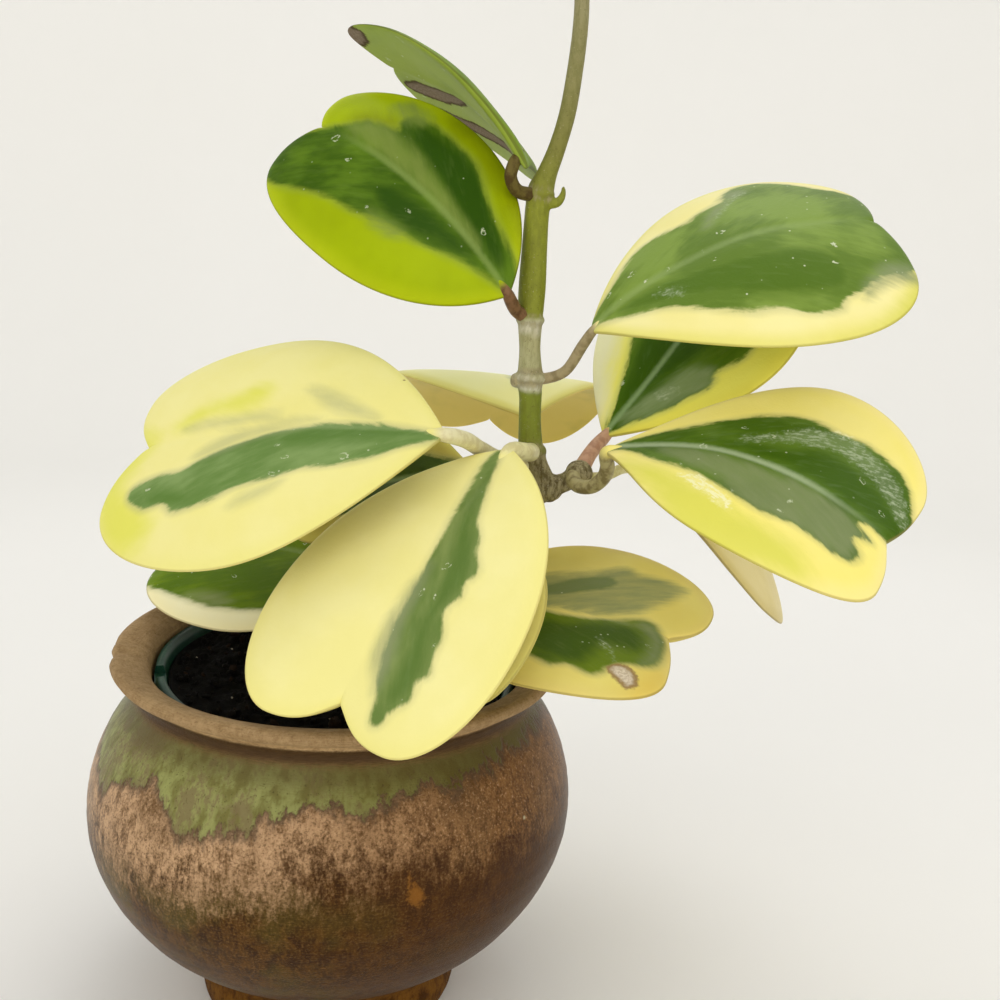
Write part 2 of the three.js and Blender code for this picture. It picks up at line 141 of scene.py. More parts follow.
class Finish:
    """A procedural material under construction."""

    def __init__(self, name: str) -> None:
        """Starts a material that holds only its shader and output."""
        self.material = bpy.data.materials.new(name)
        self.material.use_nodes = True
        self.tree = self.material.node_tree
        self.tree.nodes.clear()
        self.shader = self.node("BsdfPrincipled")
        self.node("OutputMaterial", inputs={"Surface": self.shader.outputs[0]})

    def node(self, kind: str, settings: dict | None = None, inputs: dict | None = None) -> bpy.types.Node:
        """Adds a node.

        Args:
            kind: the node's type without its ShaderNode prefix.
            settings: its own settings, set before the sockets; stops are a ramp's places and colours.
            inputs: values, Values or sockets, by the input's name or number.

        Returns:
            The new node.
        """
        made = self.tree.nodes.new("ShaderNode" + kind)
        for name, setting in (settings or {}).items():
            if name == "stops":
                self._stops(made.color_ramp, setting)
            else:
                setattr(made, name, setting)
        for name, given in (inputs or {}).items():
            given = given.socket if isinstance(given, Value) else given
            if isinstance(given, bpy.types.NodeSocket):
                self.tree.links.new(given, made.inputs[name])
            else:
                made.inputs[name].default_value = given
        return made

    @staticmethod
    def _stops(ramp: bpy.types.ColorRamp, stops: list[tuple[float, Colour]]) -> None:
        """Sets a ramp's places and colours.

        Args:
            ramp: the colour ramp of a node.
            stops: its places, 0 to 1, and their colours.
        """
        while len(ramp.elements) < len(stops):
            ramp.elements.new(1.0)
        for element, (place, colour) in zip(ramp.elements, stops):
            element.position = place
            element.color = colour

    def value(self, kind: str, settings: dict | None = None, inputs: dict | None = None,
              output: Any = 0) -> Value:
        """Adds a node and returns one of its outputs as a number."""
        return Value(self, self.node(kind, settings, inputs).outputs[output])

    def attribute(self, name: str) -> Value:
        """A number kept on the piece's own vertices."""
        return self.value("Attribute", {"attribute_name": name}, output="Fac")

    def noise(self, where: Any, scale: float, detail: float = 3.0, roughness: float = 0.55) -> Value:
        """Cloudy noise from 0 to 1, its scale in patches per metre."""
        inputs = {"Vector": where, "Scale": scale, "Detail": detail, "Roughness": roughness}
        return self.value("TexNoise", None, inputs)

    def mix(self, factor: Any, first: Any, second: Any) -> bpy.types.NodeSocket:
        """A colour between two, the first at factor 0."""
        made = self.node("Mix", {"data_type": "RGBA"}, {0: factor, 6: first, 7: second})
        return made.outputs[2]

    def point(self, x: Any, y: Any, z: Any) -> bpy.types.NodeSocket:
        """A place put together from three numbers."""
        return self.node("CombineXYZ", None, {0: x, 1: y, 2: z}).outputs[0]

    def parts(self, where: Any) -> tuple[Value, Value, Value]:
        """The three numbers of a place."""
        split = self.node("SeparateXYZ", None, {0: where})
        return Value(self, split.outputs[0]), Value(self, split.outputs[1]), Value(self, split.outputs[2])

    def bump(self, height: Value, depth: float, strength: float = 1.0) -> None:
        """Raises fine relief, depth metres from low to high."""
        made = self.node("Bump", None, {"Height": height, "Distance": depth, "Strength": strength})
        self.tree.links.new(made.outputs[0], self.shader.inputs["Normal"])

    def dress(self, colour: Any, roughness: Any, **fixed: float) -> bpy.types.Material:
        """Wires the shader and returns the material.

        Args:
            colour: the base colour's socket.
            roughness: a number or a Value.
            fixed: other shader sockets that are the same all over, with _ for a space.

        Returns:
            The finished material.
        """
        self.tree.links.new(colour, self.shader.inputs["Base Color"])
        if isinstance(roughness, Value):
            self.tree.links.new(roughness.socket, self.shader.inputs["Roughness"])
        else:
            self.shader.inputs["Roughness"].default_value = roughness
        for name, number in fixed.items():
            self.shader.inputs[name.replace("_", " ")].default_value = number
        return self.material


class Route:
    """A smooth way through points of x, y, z and radius, in millimetres."""

    def __init__(self, points: list[tuple[float, ...]]) -> None:
        """Keeps the points, with one more past each end to lead the curve in and out.

        Args:
            points: x, y, z and radius of each point, in order.
        """
        given = np.array(points, float)
        self.spans = len(given) - 1
        self.points = np.vstack([2 * given[0] - given[1], given, 2 * given[-1] - given[-2]])
        steps = np.linalg.norm(np.diff(self.points[:, :3], axis=0), axis=1)
        self.knots = np.concatenate([[0.0], np.cumsum(np.sqrt(steps))])

    def at(self, along: float) -> np.ndarray:
        """The x, y, z and radius at a share of the way, 0 to 1.

        Args:
            along: the share of the way.

        Returns:
            The four numbers.
        """
        span = min(int(along * self.spans), self.spans - 1)
        p0, p1, p2, p3 = self.points[span:span + 4]
        k0, k1, k2, k3 = self.knots[span:span + 4]
        here = k1 + (along * self.spans - span) * (k2 - k1)
        first = p0 + (here - k0) / (k1 - k0) * (p1 - p0)
        second = p1 + (here - k1) / (k2 - k1) * (p2 - p1)
        third = p2 + (here - k2) / (k3 - k2) * (p3 - p2)
        fourth = first + (here - k0) / (k2 - k0) * (second - first)
        fifth = second + (here - k1) / (k3 - k1) * (third - second)
        return fourth + (here - k1) / (k2 - k1) * (fifth - fourth)


def wrap(mesh: bmesh.types.BMesh, around: int, along: int) -> tuple[Verts, np.ndarray]:
    """Adds a grid that is to be rolled into a closed skin.

    Args:
        mesh: the mesh that takes it.
        around: how many faces go round.
        along: how many faces go from end to end.

    Returns:
        The new vertices, and for each its share of the way round and along, 0 to 1.
    """
    made = bmesh.ops.create_grid(mesh, x_segments=around, y_segments=along, size=0.5)["verts"]
    shares = np.array([vert.co[:2] for vert in made]) + 0.5
    return made, np.clip(shares, 0, 1)


def settle(mesh: bmesh.types.BMesh, verts: Verts, places: np.ndarray) -> None:
    """Moves vertices to their places, kept inside the box of the solids, and closes their seam and ends.

    Args:
        mesh: the mesh that holds the vertices.
        verts: the vertices of one skin.
        places: their places in millimetres.
    """
    for vert, place in zip(verts, np.clip(places * MM, *cad_box)):
        vert.co = place
    bmesh.ops.remove_doubles(mesh, verts=verts, dist=MERGE)


def blank(*names: str) -> bmesh.types.BMesh:
    """An empty mesh that can keep a number under each name on its vertices.

    Args:
        names: the names of the numbers.

    Returns:
        The new mesh.
    """
    mesh = bmesh.new()
    for name in names:
        mesh.verts.layers.float.new(name)
    return mesh


def write_layer(mesh: bmesh.types.BMesh, verts: Verts, name: str, numbers: np.ndarray) -> None:
    """Keeps a number on each vertex under a name.

    Args:
        mesh: the mesh that holds the vertices.
        verts: the vertices.
        name: the name of the number.
        numbers: one number for each vertex.
    """
    layer = mesh.verts.layers.float[name]
    for vert, number in zip(verts, numbers):
        vert[layer] = float(number)


def tube(mesh: bmesh.types.BMesh, points: list[tuple[float, ...]], sides: int,
         steps: int) -> tuple[Verts, np.ndarray, np.ndarray]:
    """Adds a round limb with rounded ends.

    Args:
        mesh: the mesh that takes it.
        points: x, y, z and radius in millimetres.
        sides: faces round it.
        steps: faces along it.

    Returns:
        Its vertices, their shares round and along, and their places.
    """
    verts, shares = wrap(mesh, sides, steps)
    route = Route(points)
    rows = np.unique(np.round(shares[:, 1], 5))
    centres = np.array([route.at(row) for row in rows])
    ways = np.gradient(centres[:, :3], axis=0)
    ways /= np.linalg.norm(ways, axis=1)[:, None]
    side = np.array([0.3, 1.0, 0.1])
    sides_of = []
    for way in ways:
        side = side - side.dot(way) * way
        side /= np.linalg.norm(side)
        sides_of.append(side)
    sides_of = np.array(sides_of)
    others = np.cross(ways, sides_of)
    row = np.searchsorted(rows, np.round(shares[:, 1], 5))
    ends = np.minimum(row, len(rows) - 1 - row)
    radius = centres[row, 3] * np.array([0.0, 0.75, 1.0])[np.minimum(ends, 2)]
    turn = 2 * np.pi * shares[:, 0]
    places = centres[row, :3] + (radius * np.cos(turn))[:, None] * sides_of[row]
    places = places + (radius * np.sin(turn))[:, None] * others[row]
    return verts, shares, places


def piece(name: str, mesh: bmesh.types.BMesh, material: bpy.types.Material,
          node: str) -> bpy.types.Object:
    """Makes the finished object of a mesh.

    Args:
        name: the piece's name.
        mesh: its mesh, in metres, in its place; it is used up.
        material: its finish.
        node: the CAD node that it stands for.

    Returns:
        The object, riding with the plant.
    """
    bmesh.ops.recalc_face_normals(mesh, faces=mesh.faces)
    for face in mesh.faces:
        face.smooth = True
    data = bpy.data.meshes.new(name)
    mesh.to_mesh(data)
    mesh.free()
    made = bpy.data.objects.new(name, data)
    bpy.context.scene.collection.objects.link(made)
    data.materials.append(material)
    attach(made, "root")
    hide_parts(node)
    log.info("%s: %d faces", name, len(data.polygons))
    return made


class Tone(Enum):
    """What a patch on a leaf is made of."""

    GREEN = "green"
    DEEP = "deep"
    SMOKE = "smoke"
    LIME = "lime"
    SILVER = "silver"
    SCAR = "scar"


@dataclass(frozen=True)
class Patch:
    """A patch of one tone, its outline in millimetres across the leaf and along its midrib."""

    tone: Tone
    outline: tuple[Flat, ...]

    def inside(self, x: np.ndarray, y: np.ndarray) -> np.ndarray:
        """How far inside the rounded outline each place lies, in millimetres, negative outside.

        Args:
            x: how far across the midrib each place lies.
            y: how far along it.

        Returns:
            One distance for each place.
        """
        corners = np.array(self.outline, float)
        before, after = np.roll(corners, 1, 0), np.roll(corners, -1, 0)
        beyond = np.roll(corners, -2, 0)
        ring = []
        for t in (0.0, 0.25, 0.5, 0.75):
            ring.append(0.5 * (2 * corners + (after - before) * t
                               + (2 * before - 5 * corners + 4 * after - beyond) * t ** 2
                               + (3 * corners - before - 3 * after + beyond) * t ** 3))
        line = np.stack(ring, 1).reshape(-1, 2)
        step = np.roll(line, -1, 0) - line
        away_x = x[:, None] - line[:, 0]
        away_y = y[:, None] - line[:, 1]
        share = np.clip((away_x * step[:, 0] + away_y * step[:, 1]) / (step ** 2).sum(1), 0, 1)
        distance = np.hypot(away_x - share * step[:, 0], away_y - share * step[:, 1]).min(1)
        end_y = line[:, 1] + step[:, 1]
        crosses = (line[:, 1] > y[:, None]) != (end_y > y[:, None])
        slope = step[:, 0] / np.where(step[:, 1] == 0, 1e-9, step[:, 1])
        left_of = away_x < slope * (y[:, None] - line[:, 1])
        odd = (crosses & left_of).sum(1) % 2 == 1
        return np.where(odd, distance, -distance)


@dataclass
class LeafShape:
    """The form of a heart-shaped blade. Sizes are in millimetres, angles in degrees, left side first."""

    base: Point
    heading: float
    pitch: float
    roll: float
    length: float
    wide: Flat
    lobe: Flat
    fold: float
    cup: float
    arch: float
    twist: float
    widest: float
    shoulder: float
    sway: float
    thickness: float = 2.8
    wide_station: float = 0.5
    lobe_station: float = 0.8
    fold_softness: float = 3.0
    base_taper: float = 0.1
    notch_taper: float = 0.06
    # The handles of the margin's three curves, as shares of the leaf's own widths and lengths.
    lobe_lift: float = 0.3
    lobe_across: float = 0.48
    base_handle: float = 0.42
    wide_handle: float = 0.55
    lobe_handle: float = 0.56
    notch_handle: float = 0.45
    notch_across: float = 0.12

    @staticmethod
    def _cubic(points: tuple[Flat, ...], t: np.ndarray) -> np.ndarray:
        """Points on a cubic curve in the plane.

        Args:
            points: the curve's four points.
            t: shares of the curve, held to 0 to 1.

        Returns:
            The places, one row each.
        """
        a, b, c, d = (np.array(point, float) for point in points)
        t = np.clip(t, 0, 1)[:, None]
        return (1 - t) ** 3 * a + 3 * (1 - t) ** 2 * t * b + 3 * (1 - t) * t ** 2 * c + t ** 3 * d

    def margin(self, side: int, s: np.ndarray) -> np.ndarray:
        """The margin of one half, from the base over the widest place and the lobe to the notch.

        Args:
            side: 0 for the left half, 1 for the right.
            s: shares of the way.

        Returns:
            How far out and along each place lies, one row each.
        """
        wide, lobe, swing = self.wide[side], self.lobe[side], math.radians(self.shoulder)
        wide_at = self.widest * self.length + self.lobe_lift * lobe
        lobe_x, lobe_y = self.lobe_across * wide, self.length + lobe
        reach = self.base_handle * wide_at
        first = ((0, 0), (reach * math.sin(swing), reach * math.cos(swing)),
                 (wide, self.wide_handle * wide_at), (wide, wide_at))
        second = ((wide, wide_at), (wide, wide_at + self.lobe_handle * (lobe_y - wide_at)),
                  (lobe_x + self.lobe_handle * (wide - lobe_x), lobe_y), (lobe_x, lobe_y))
        third = ((lobe_x, lobe_y), (self.notch_handle * lobe_x, lobe_y),
                 (self.notch_across * wide, self.length + self.notch_handle * lobe), (0, self.length))
        to_wide = self._cubic(first, s / self.wide_station)
        to_lobe = self._cubic(second, (s - self.wide_station) / (self.lobe_station - self.wide_station))
        to_notch = self._cubic(third, (s - self.lobe_station) / (1 - self.lobe_station))
        early = np.where((s <= self.wide_station)[:, None], to_wide, to_lobe)
        return np.where((s <= self.lobe_station)[:, None], early, to_notch)

    def fullness(self, s: np.ndarray, t: np.ndarray) -> np.ndarray:
        """The blade's thickness at a place as a share of the full one, rounded off at the rim.

        Args:
            s: shares of the way from base to notch.
            t: shares from midrib to rim.

        Returns:
            A share of the thickness for each place.
        """
        base = np.clip(s / self.base_taper, 0, 1)
        notch = np.clip((1 - s) / self.notch_taper, 0, 1)
        at_rim = np.sqrt(1 - np.clip(t, -1, 1) ** 6)
        return at_rim * np.sqrt(1 - (1 - base) ** 2) * np.sqrt(1 - (1 - notch) ** 2)

    def lay(self, x: np.ndarray, y: np.ndarray, lift: np.ndarray) -> np.ndarray:
        """Where flat places land once the leaf is folded, cupped, twisted, arched and aimed.

        Args:
            x: how far across the flat leaf each place lies.
            y: how far along it.
            lift: how far above its middle surface.

        Returns:
            The places in millimetres, one row each.
        """
        along = y / self.length
        wide = np.where(x < 0, self.wide[0], self.wide[1])
        soft = self.fold_softness
        folded = math.tan(math.radians(self.fold)) * (np.hypot(x, soft) - soft)
        height = folded - self.cup * (x / wide) ** 2 + lift
        across = x + 4 * self.sway * along * (1 - along)
        turn = math.radians(self.twist) * along
        across, height = (across * np.cos(turn) + height * np.sin(turn),
                          height * np.cos(turn) - across * np.sin(turn))
        bend = math.radians(self.arch) / self.length
        forward = np.sin(bend * y) / bend + height * np.sin(bend * y)
        up = height * np.cos(bend * y) - (1 - np.cos(bend * y)) / bend
        h, p, r = (math.radians(angle) for angle in (self.heading, self.pitch, self.roll))
        ahead = np.array([math.cos(p) * math.cos(h), math.cos(p) * math.sin(h), math.sin(p)])
        flat = np.array([math.sin(h), -math.cos(h), 0.0])
        normal = np.cross(flat, ahead)
        right = math.cos(r) * flat - math.sin(r) * normal
        top = math.sin(r) * flat + math.cos(r) * normal
        return np.array(self.base) + across[:, None] * right + forward[:, None] * ahead + up[:, None] * top


@dataclass(frozen=True)
class LeafLook:
    """The colours of one leaf and how its surface shines; widths and softness are in millimetres."""

    pale: Colour = rgb(248, 240, 160)
    second: Colour = rgb(240, 230, 135)
    edge: Colour = rgb(232, 222, 110)
    outline: Colour = rgb(150, 132, 66)
    lime: Colour = rgb(226, 226, 80)
    lime_strength: float = 0.85
    green: Colour = rgb(110, 138, 62)
    deep: Colour = rgb(74, 108, 34)
    smoke: Colour = rgb(146, 158, 112)
    rib: Colour = rgb(160, 182, 120)
    under: Colour = rgb(214, 196, 104)
    petiole: Colour = rgb(228, 222, 168)
    petiole_shade: Colour = rgb(204, 194, 132)
    scar: Colour = rgb(96, 82, 74)
    scar_rim: Colour = rgb(64, 48, 36)
    rib_strength: float = 0.5
    rib_width: float = 0.8
    jag: float = 3.6
    softness: float = 0.7
    halo: float = 0.42
    water: float = 1.0
    veil: float = 0.9
    drift: float = 3.5
    roughness: float = 0.34

    def material(self, name: str) -> bpy.types.Material:
        """The leaf's material.

        Args:
            name: the material's name.

        Returns:
            A material that reads the leaf's own flat place and its tones.
        """
        made = Finish(name)
        flat = made.node("Attribute", {"attribute_name": "flat"}).outputs["Vector"]
        x, y, leaf = made.parts(flat)
        tone = {tone: made.attribute(tone.value) for tone in Tone}
        rim, out = made.attribute("rim"), x.size()
        vein = made.point((out * 0.88 - y * 0.47) * 4.2, (y * 0.88 + out * 0.47) * 0.9, leaf)
        streak = made.noise(vein, 110, 4, 0.6)
        cloud = made.noise(flat, 38, 3)
        fine = made.noise(flat, 800, 3, 0.6)
        wobble = (streak - 0.5) * self.jag + (fine - 0.5) * (self.jag * 0.22)
        colour = made.mix(cloud.step(0.36, 0.66) * 0.7, self.pale, self.second)
        colour = made.mix(rim.step(6.0, 0.3) * 0.6, colour, self.edge)
        lime = (tone[Tone.LIME] + (streak - 0.5) * 4 + (cloud - 0.5) * 8).step(-5.5, 4.5)
        colour = made.mix(lime * self.lime_strength, colour, self.lime)
        drifts = (streak - 0.5) * self.drift
        smoke = (tone[Tone.SMOKE] + drifts).step(-2.6, 2.4) * (drifts * 0.2 + 0.85).least(1.0)
        halo = (tone[Tone.GREEN] + drifts * 0.4).step(-2.6, 0.4) * self.halo
        colour = made.mix((smoke * self.veil).most(halo), colour, self.smoke)
        leafgreen = self._green(made, tone, vein, streak, cloud, smoke)
        rib = (out + (fine - 0.5) * 0.0006).step(self.rib_width * MM * 2.2, self.rib_width * MM * 0.1)
        rib = rib * y.step(0.080, 0.045) * self.rib_strength
        leafgreen = made.mix(rib, leafgreen, self.rib)
        green = (tone[Tone.GREEN] + wobble).step(-self.softness, self.softness)
        colour = made.mix(green, colour, leafgreen)
        colour = made.mix(rim.step(0.6, 0.1) * 0.5, colour, self.outline)
        beneath = made.mix(green * 0.5, self.under, self.green)
        beneath = made.mix(cloud.step(0.45, 0.7) * 0.3, beneath, self.deep)
        colour = made.mix(made.attribute("under") * 0.85, colour, beneath)
        colour, roughness = self._marks(made, flat, vein, tone, green, colour, fine)
        where = made.node("TexCoord").outputs["Object"]
        shade = made.noise(where, 420, 3).step(0.40, 0.64) * 0.8
        colour = made.mix(made.attribute("stalk"), colour, made.mix(shade, self.petiole, self.petiole_shade))
        made.bump(fine * 0.35 + made.noise(flat, 1900, 2) * 0.2 - rib * 0.5, 0.0002)
        return made.dress(colour, roughness, Specular_IOR_Level=0.07)

    def _green(self, made: Finish, tone: dict[Tone, Value], vein: Any, streak: Value, cloud: Value,
               smoke: Value) -> Any:
        """The green of the leaf: two greens in soft drifts, faint side veins and smoke.

        Args:
            made: the finish.
            tone: how far inside each tone a place lies.
            vein: a place stretched along the side veins.
            streak: noise along the veins.
            cloud: slow noise.
            smoke: how smoky a place is.

        Returns:
            The colour's socket.
        """
        dark = (streak * 0.3 + cloud * 0.8).step(0.45, 0.66) * 0.7
        deepening = (tone[Tone.DEEP] + (streak - 0.5) * 4).step(-3.2, 3.2)
        leafgreen = made.mix(dark.most(deepening * 0.92), self.green, self.deep)
        laterals = made.noise(vein, 150, 2).step(0.50, 0.74) * 0.06
        leafgreen = made.mix(laterals, leafgreen, self.rib)
        return made.mix(smoke * 0.85, leafgreen, self.smoke)

    def _marks(self, made: Finish, flat: Any, vein: Any, tone: dict[Tone, Value], green: Value,
               colour: Any, fine: Value) -> tuple[Any, Value]:
        """Adds dried drops, silvery scratches, scars and tiny dots, and works out the roughness.

        Args:
            made: the finish.
            flat: a place on the flat leaf.
            vein: a place stretched along the side veins.
            tone: how far inside each tone a place lies.
            green: how green a place is.
            colour: the colour so far.
            fine: fine noise.

        Returns:
            The new colour and the roughness.
        """
        drift = made.noise(flat, 110, 2)
        x, y, leaf = made.parts(flat)
        warped = made.point(x + (drift - 0.5) * 0.008, y * 0.8 + (fine - 0.5) * 0.003, leaf)
        cells = made.node("TexVoronoi", {"feature": "F1"}, {"Vector": warped, "Scale": 190.0})
        chosen = made.parts(cells.outputs["Color"])[0].step(0.86 - 0.2 * self.water, 0.9 - 0.2 * self.water)
        distance = Value(made, cells.outputs["Distance"])
        drop = (distance - 0.14).size().step(0.045, 0.01) * chosen * fine.step(0.45, 0.54)
        grains = made.node("TexVoronoi", {"feature": "F1"}, {"Vector": flat, "Scale": 600.0})
        grain = Value(made, grains.outputs["Distance"]).step(0.22, 0.10)
        grain = grain * made.parts(grains.outputs["Color"])[1].step(0.91, 0.94) * drift.step(0.40, 0.58)
        scratch = (made.noise(vein, 330, 4, 0.7) * 0.7 + fine * 0.3).step(0.46, 0.60)
        silver = (tone[Tone.SILVER] + (drift - 0.5) * 4 + (fine - 0.5) * 4).step(-0.6, 2.0)
        silver = silver * (scratch * 0.56 + 0.16)
        white = rgb(206, 214, 180)
        drop = drop.most(grain) * self.water
        dry = made.mix(green, rgb(250, 246, 190), rgb(186, 198, 166))
        colour = made.mix((silver * (1.9 - green * 0.9)).least(1.0), colour, dry)
        colour = made.mix(drop * green * 0.72, colour, white)
        dots = made.node("TexVoronoi", {"feature": "F1"}, {"Vector": flat, "Scale": 62.0})
        seldom = made.parts(dots.outputs["Color"])[1].step(0.72, 0.73)
        dot = Value(made, dots.outputs["Distance"]).step(0.03, 0.015) * seldom
        colour = made.mix(dot * 0.7, colour, rgb(120, 96, 44))
        depth = tone[Tone.SCAR] + (drift - 0.5) * 3 + (fine - 0.5) * 2
        crack = made.noise(flat, 1100, 4, 0.7).step(0.42, 0.58)
        crust = made.mix(depth.step(2.0, 0.3).most(crack * 0.45), self.scar, self.scar_rim)
        scar = depth.step(-0.7, 0.3)
        colour = made.mix(scar * 0.94, colour, crust)
        roughness = self.roughness + (fine - 0.5) * 0.1 + silver * 0.2 + drop * 0.12 + scar * 0.3
        return colour, roughness


@dataclass
class Leaf:
    """One leaf: its blade, its petiole and the patches that colour it, in millimetres."""

    node: str
    slot: str
    shape: LeafShape
    petiole: tuple[Point, ...]
    thick: float
    look: LeafLook
    patches: tuple[Patch, ...] = ()
    joint: float = 0.0
    around: int = 112
    along: int = 88
    crowding: float = 0.05
    stalk_around: int = 24
    stalk_along: int = 56
    stalk_swelling: float = 0.18
    groove: float = 0.35
    groove_width: float = 1.5
    ripple: float = 0.22
    flat_step: float = 0.37
    flat_turn: float = 0.004
    flat_run: float = 0.02

    def _relief(self, x: np.ndarray, y: np.ndarray, upper: np.ndarray, seed: int) -> np.ndarray:
        """The midrib's groove above and ridge below, and a slow waviness of the blade.

        Args:
            x: how far across the midrib each place lies.
            y: how far along it.
            upper: positive on the upper face, negative on the lower.
            seed: the leaf's number.

        Returns:
            How far each place is raised, in millimetres.
        """
        share = y / self.shape.length
        fades = smooth(share, 0.02, 0.12) * (1 - smooth(share, 0.8, 0.98))
        rib = np.exp(-(x / self.groove_width) ** 2) * fades
        wave = np.sin(0.13 * x + 0.09 * y + seed) + np.sin(0.21 * y - 0.08 * x + 2.1 * seed)
        wave = wave + 0.6 * np.sin(0.31 * x + 0.17 * y + 3.3 * seed)
        return -self.groove * rib * np.where(upper >= 0, 1.0, 1.2) + self.ripple * wave * fades * 0.6

    def _blade(self, mesh: bmesh.types.BMesh, seed: int) -> None:
        """Adds the blade with its layers of tones.

        Args:
            mesh: the mesh that takes it.
            seed: the leaf's number.
        """
        verts, shares = wrap(mesh, self.around, self.along)
        angle = 2 * np.pi * shares[:, 0]
        t, upper = np.cos(angle), np.sin(angle)
        s = shares[:, 1] - self.crowding * np.sin(2 * np.pi * shares[:, 1])
        edge_right = self.shape.margin(1, s)
        edge_left = self.shape.margin(0, s) * (-1, 1)
        edge = np.where((t >= 0)[:, None], edge_right, edge_left)
        middle = np.column_stack([np.zeros_like(s), self.shape.length * s])
        spread = np.abs(t)[:, None] * (edge - middle)
        x, y = (middle + spread).T
        full = self.shape.fullness(s, t)
        lift = self.shape.thickness / 2 * full * np.sign(np.where(np.abs(upper) < AT_RIM, 0, upper))
        lift = lift + self._relief(x, y, upper, seed) * full
        places = self.shape.lay(x, y, lift)
        flat = mesh.verts.layers.float_vector["flat"]
        for vert, across, along in zip(verts, x * MM, y * MM):
            vert[flat] = (across, along, self.flat_step * seed)
        for tone in Tone:
            depth = np.full(len(x), FAR_OUTSIDE)
            for patch in self.patches:
                if patch.tone is tone:
                    depth = np.maximum(depth, patch.inside(x, y))
            write_layer(mesh, verts, tone.value, depth)
        write_layer(mesh, verts, "rim", (1 - np.abs(t)) * np.linalg.norm(edge - middle, axis=1))
        write_layer(mesh, verts, "under", (upper < -AT_RIM).astype(float))
        write_layer(mesh, verts, "stalk", np.zeros(len(x)))
        settle(mesh, verts, places)

    def _stalk(self, mesh: bmesh.types.BMesh, seed: int) -> None:
        """Adds the petiole, from inside the blade to inside the stem.

        Args:
            mesh: the mesh that takes it.
            seed: the leaf's number.
        """
        inner, start = self.shape.lay(np.zeros(2), np.array([self.joint + 7, self.joint + 1.0]), np.zeros(2))
        points = [(*inner, 0.7), (*start, self.thick * 0.85)]
        points += [(*point, self.thick * swell) for point, swell in zip(self.petiole, self._swelling())]
        verts, shares, places = tube(mesh, points, self.stalk_around, self.stalk_along)
        flat = mesh.verts.layers.float_vector["flat"]
        for vert, share in zip(verts, shares):
            turn = 2 * math.pi * share[0]
            vert[flat] = (self.flat_turn * math.cos(turn), self.flat_run * share[1],
                          self.flat_step * seed + self.flat_turn * math.sin(turn))
        for name in ("rim", *(tone.value for tone in Tone)):
            write_layer(mesh, verts, name, np.full(len(verts), FAR_OUTSIDE if name != "rim" else FAR_INSIDE))
        write_layer(mesh, verts, "under", np.zeros(len(verts)))
        write_layer(mesh, verts, "stalk", smooth(shares[:, 1], 0.1, 0.2))
        settle(mesh, verts, places)

    def _swelling(self) -> list[float]:
        """How thick the petiole is at each point: a little thicker where it meets the stem."""
        last = len(self.petiole) - 1
        return [1.0 + self.stalk_swelling * (i / last) ** 3 for i in range(last + 1)]

    def build(self, seed: int) -> bpy.types.Object:
        """Builds the leaf and dresses it.

        Args:
            seed: the leaf's number, which sets it apart in waviness and pattern.

        Returns:
            The finished leaf.
        """
        mesh = blank("rim", "under", "stalk", *(tone.value for tone in Tone))
        mesh.verts.layers.float_vector.new("flat")
        self._blade(mesh, seed)
        self._stalk(mesh, seed)
        return piece(self.node + "_look", mesh, self.look.material(self.node), self.node)


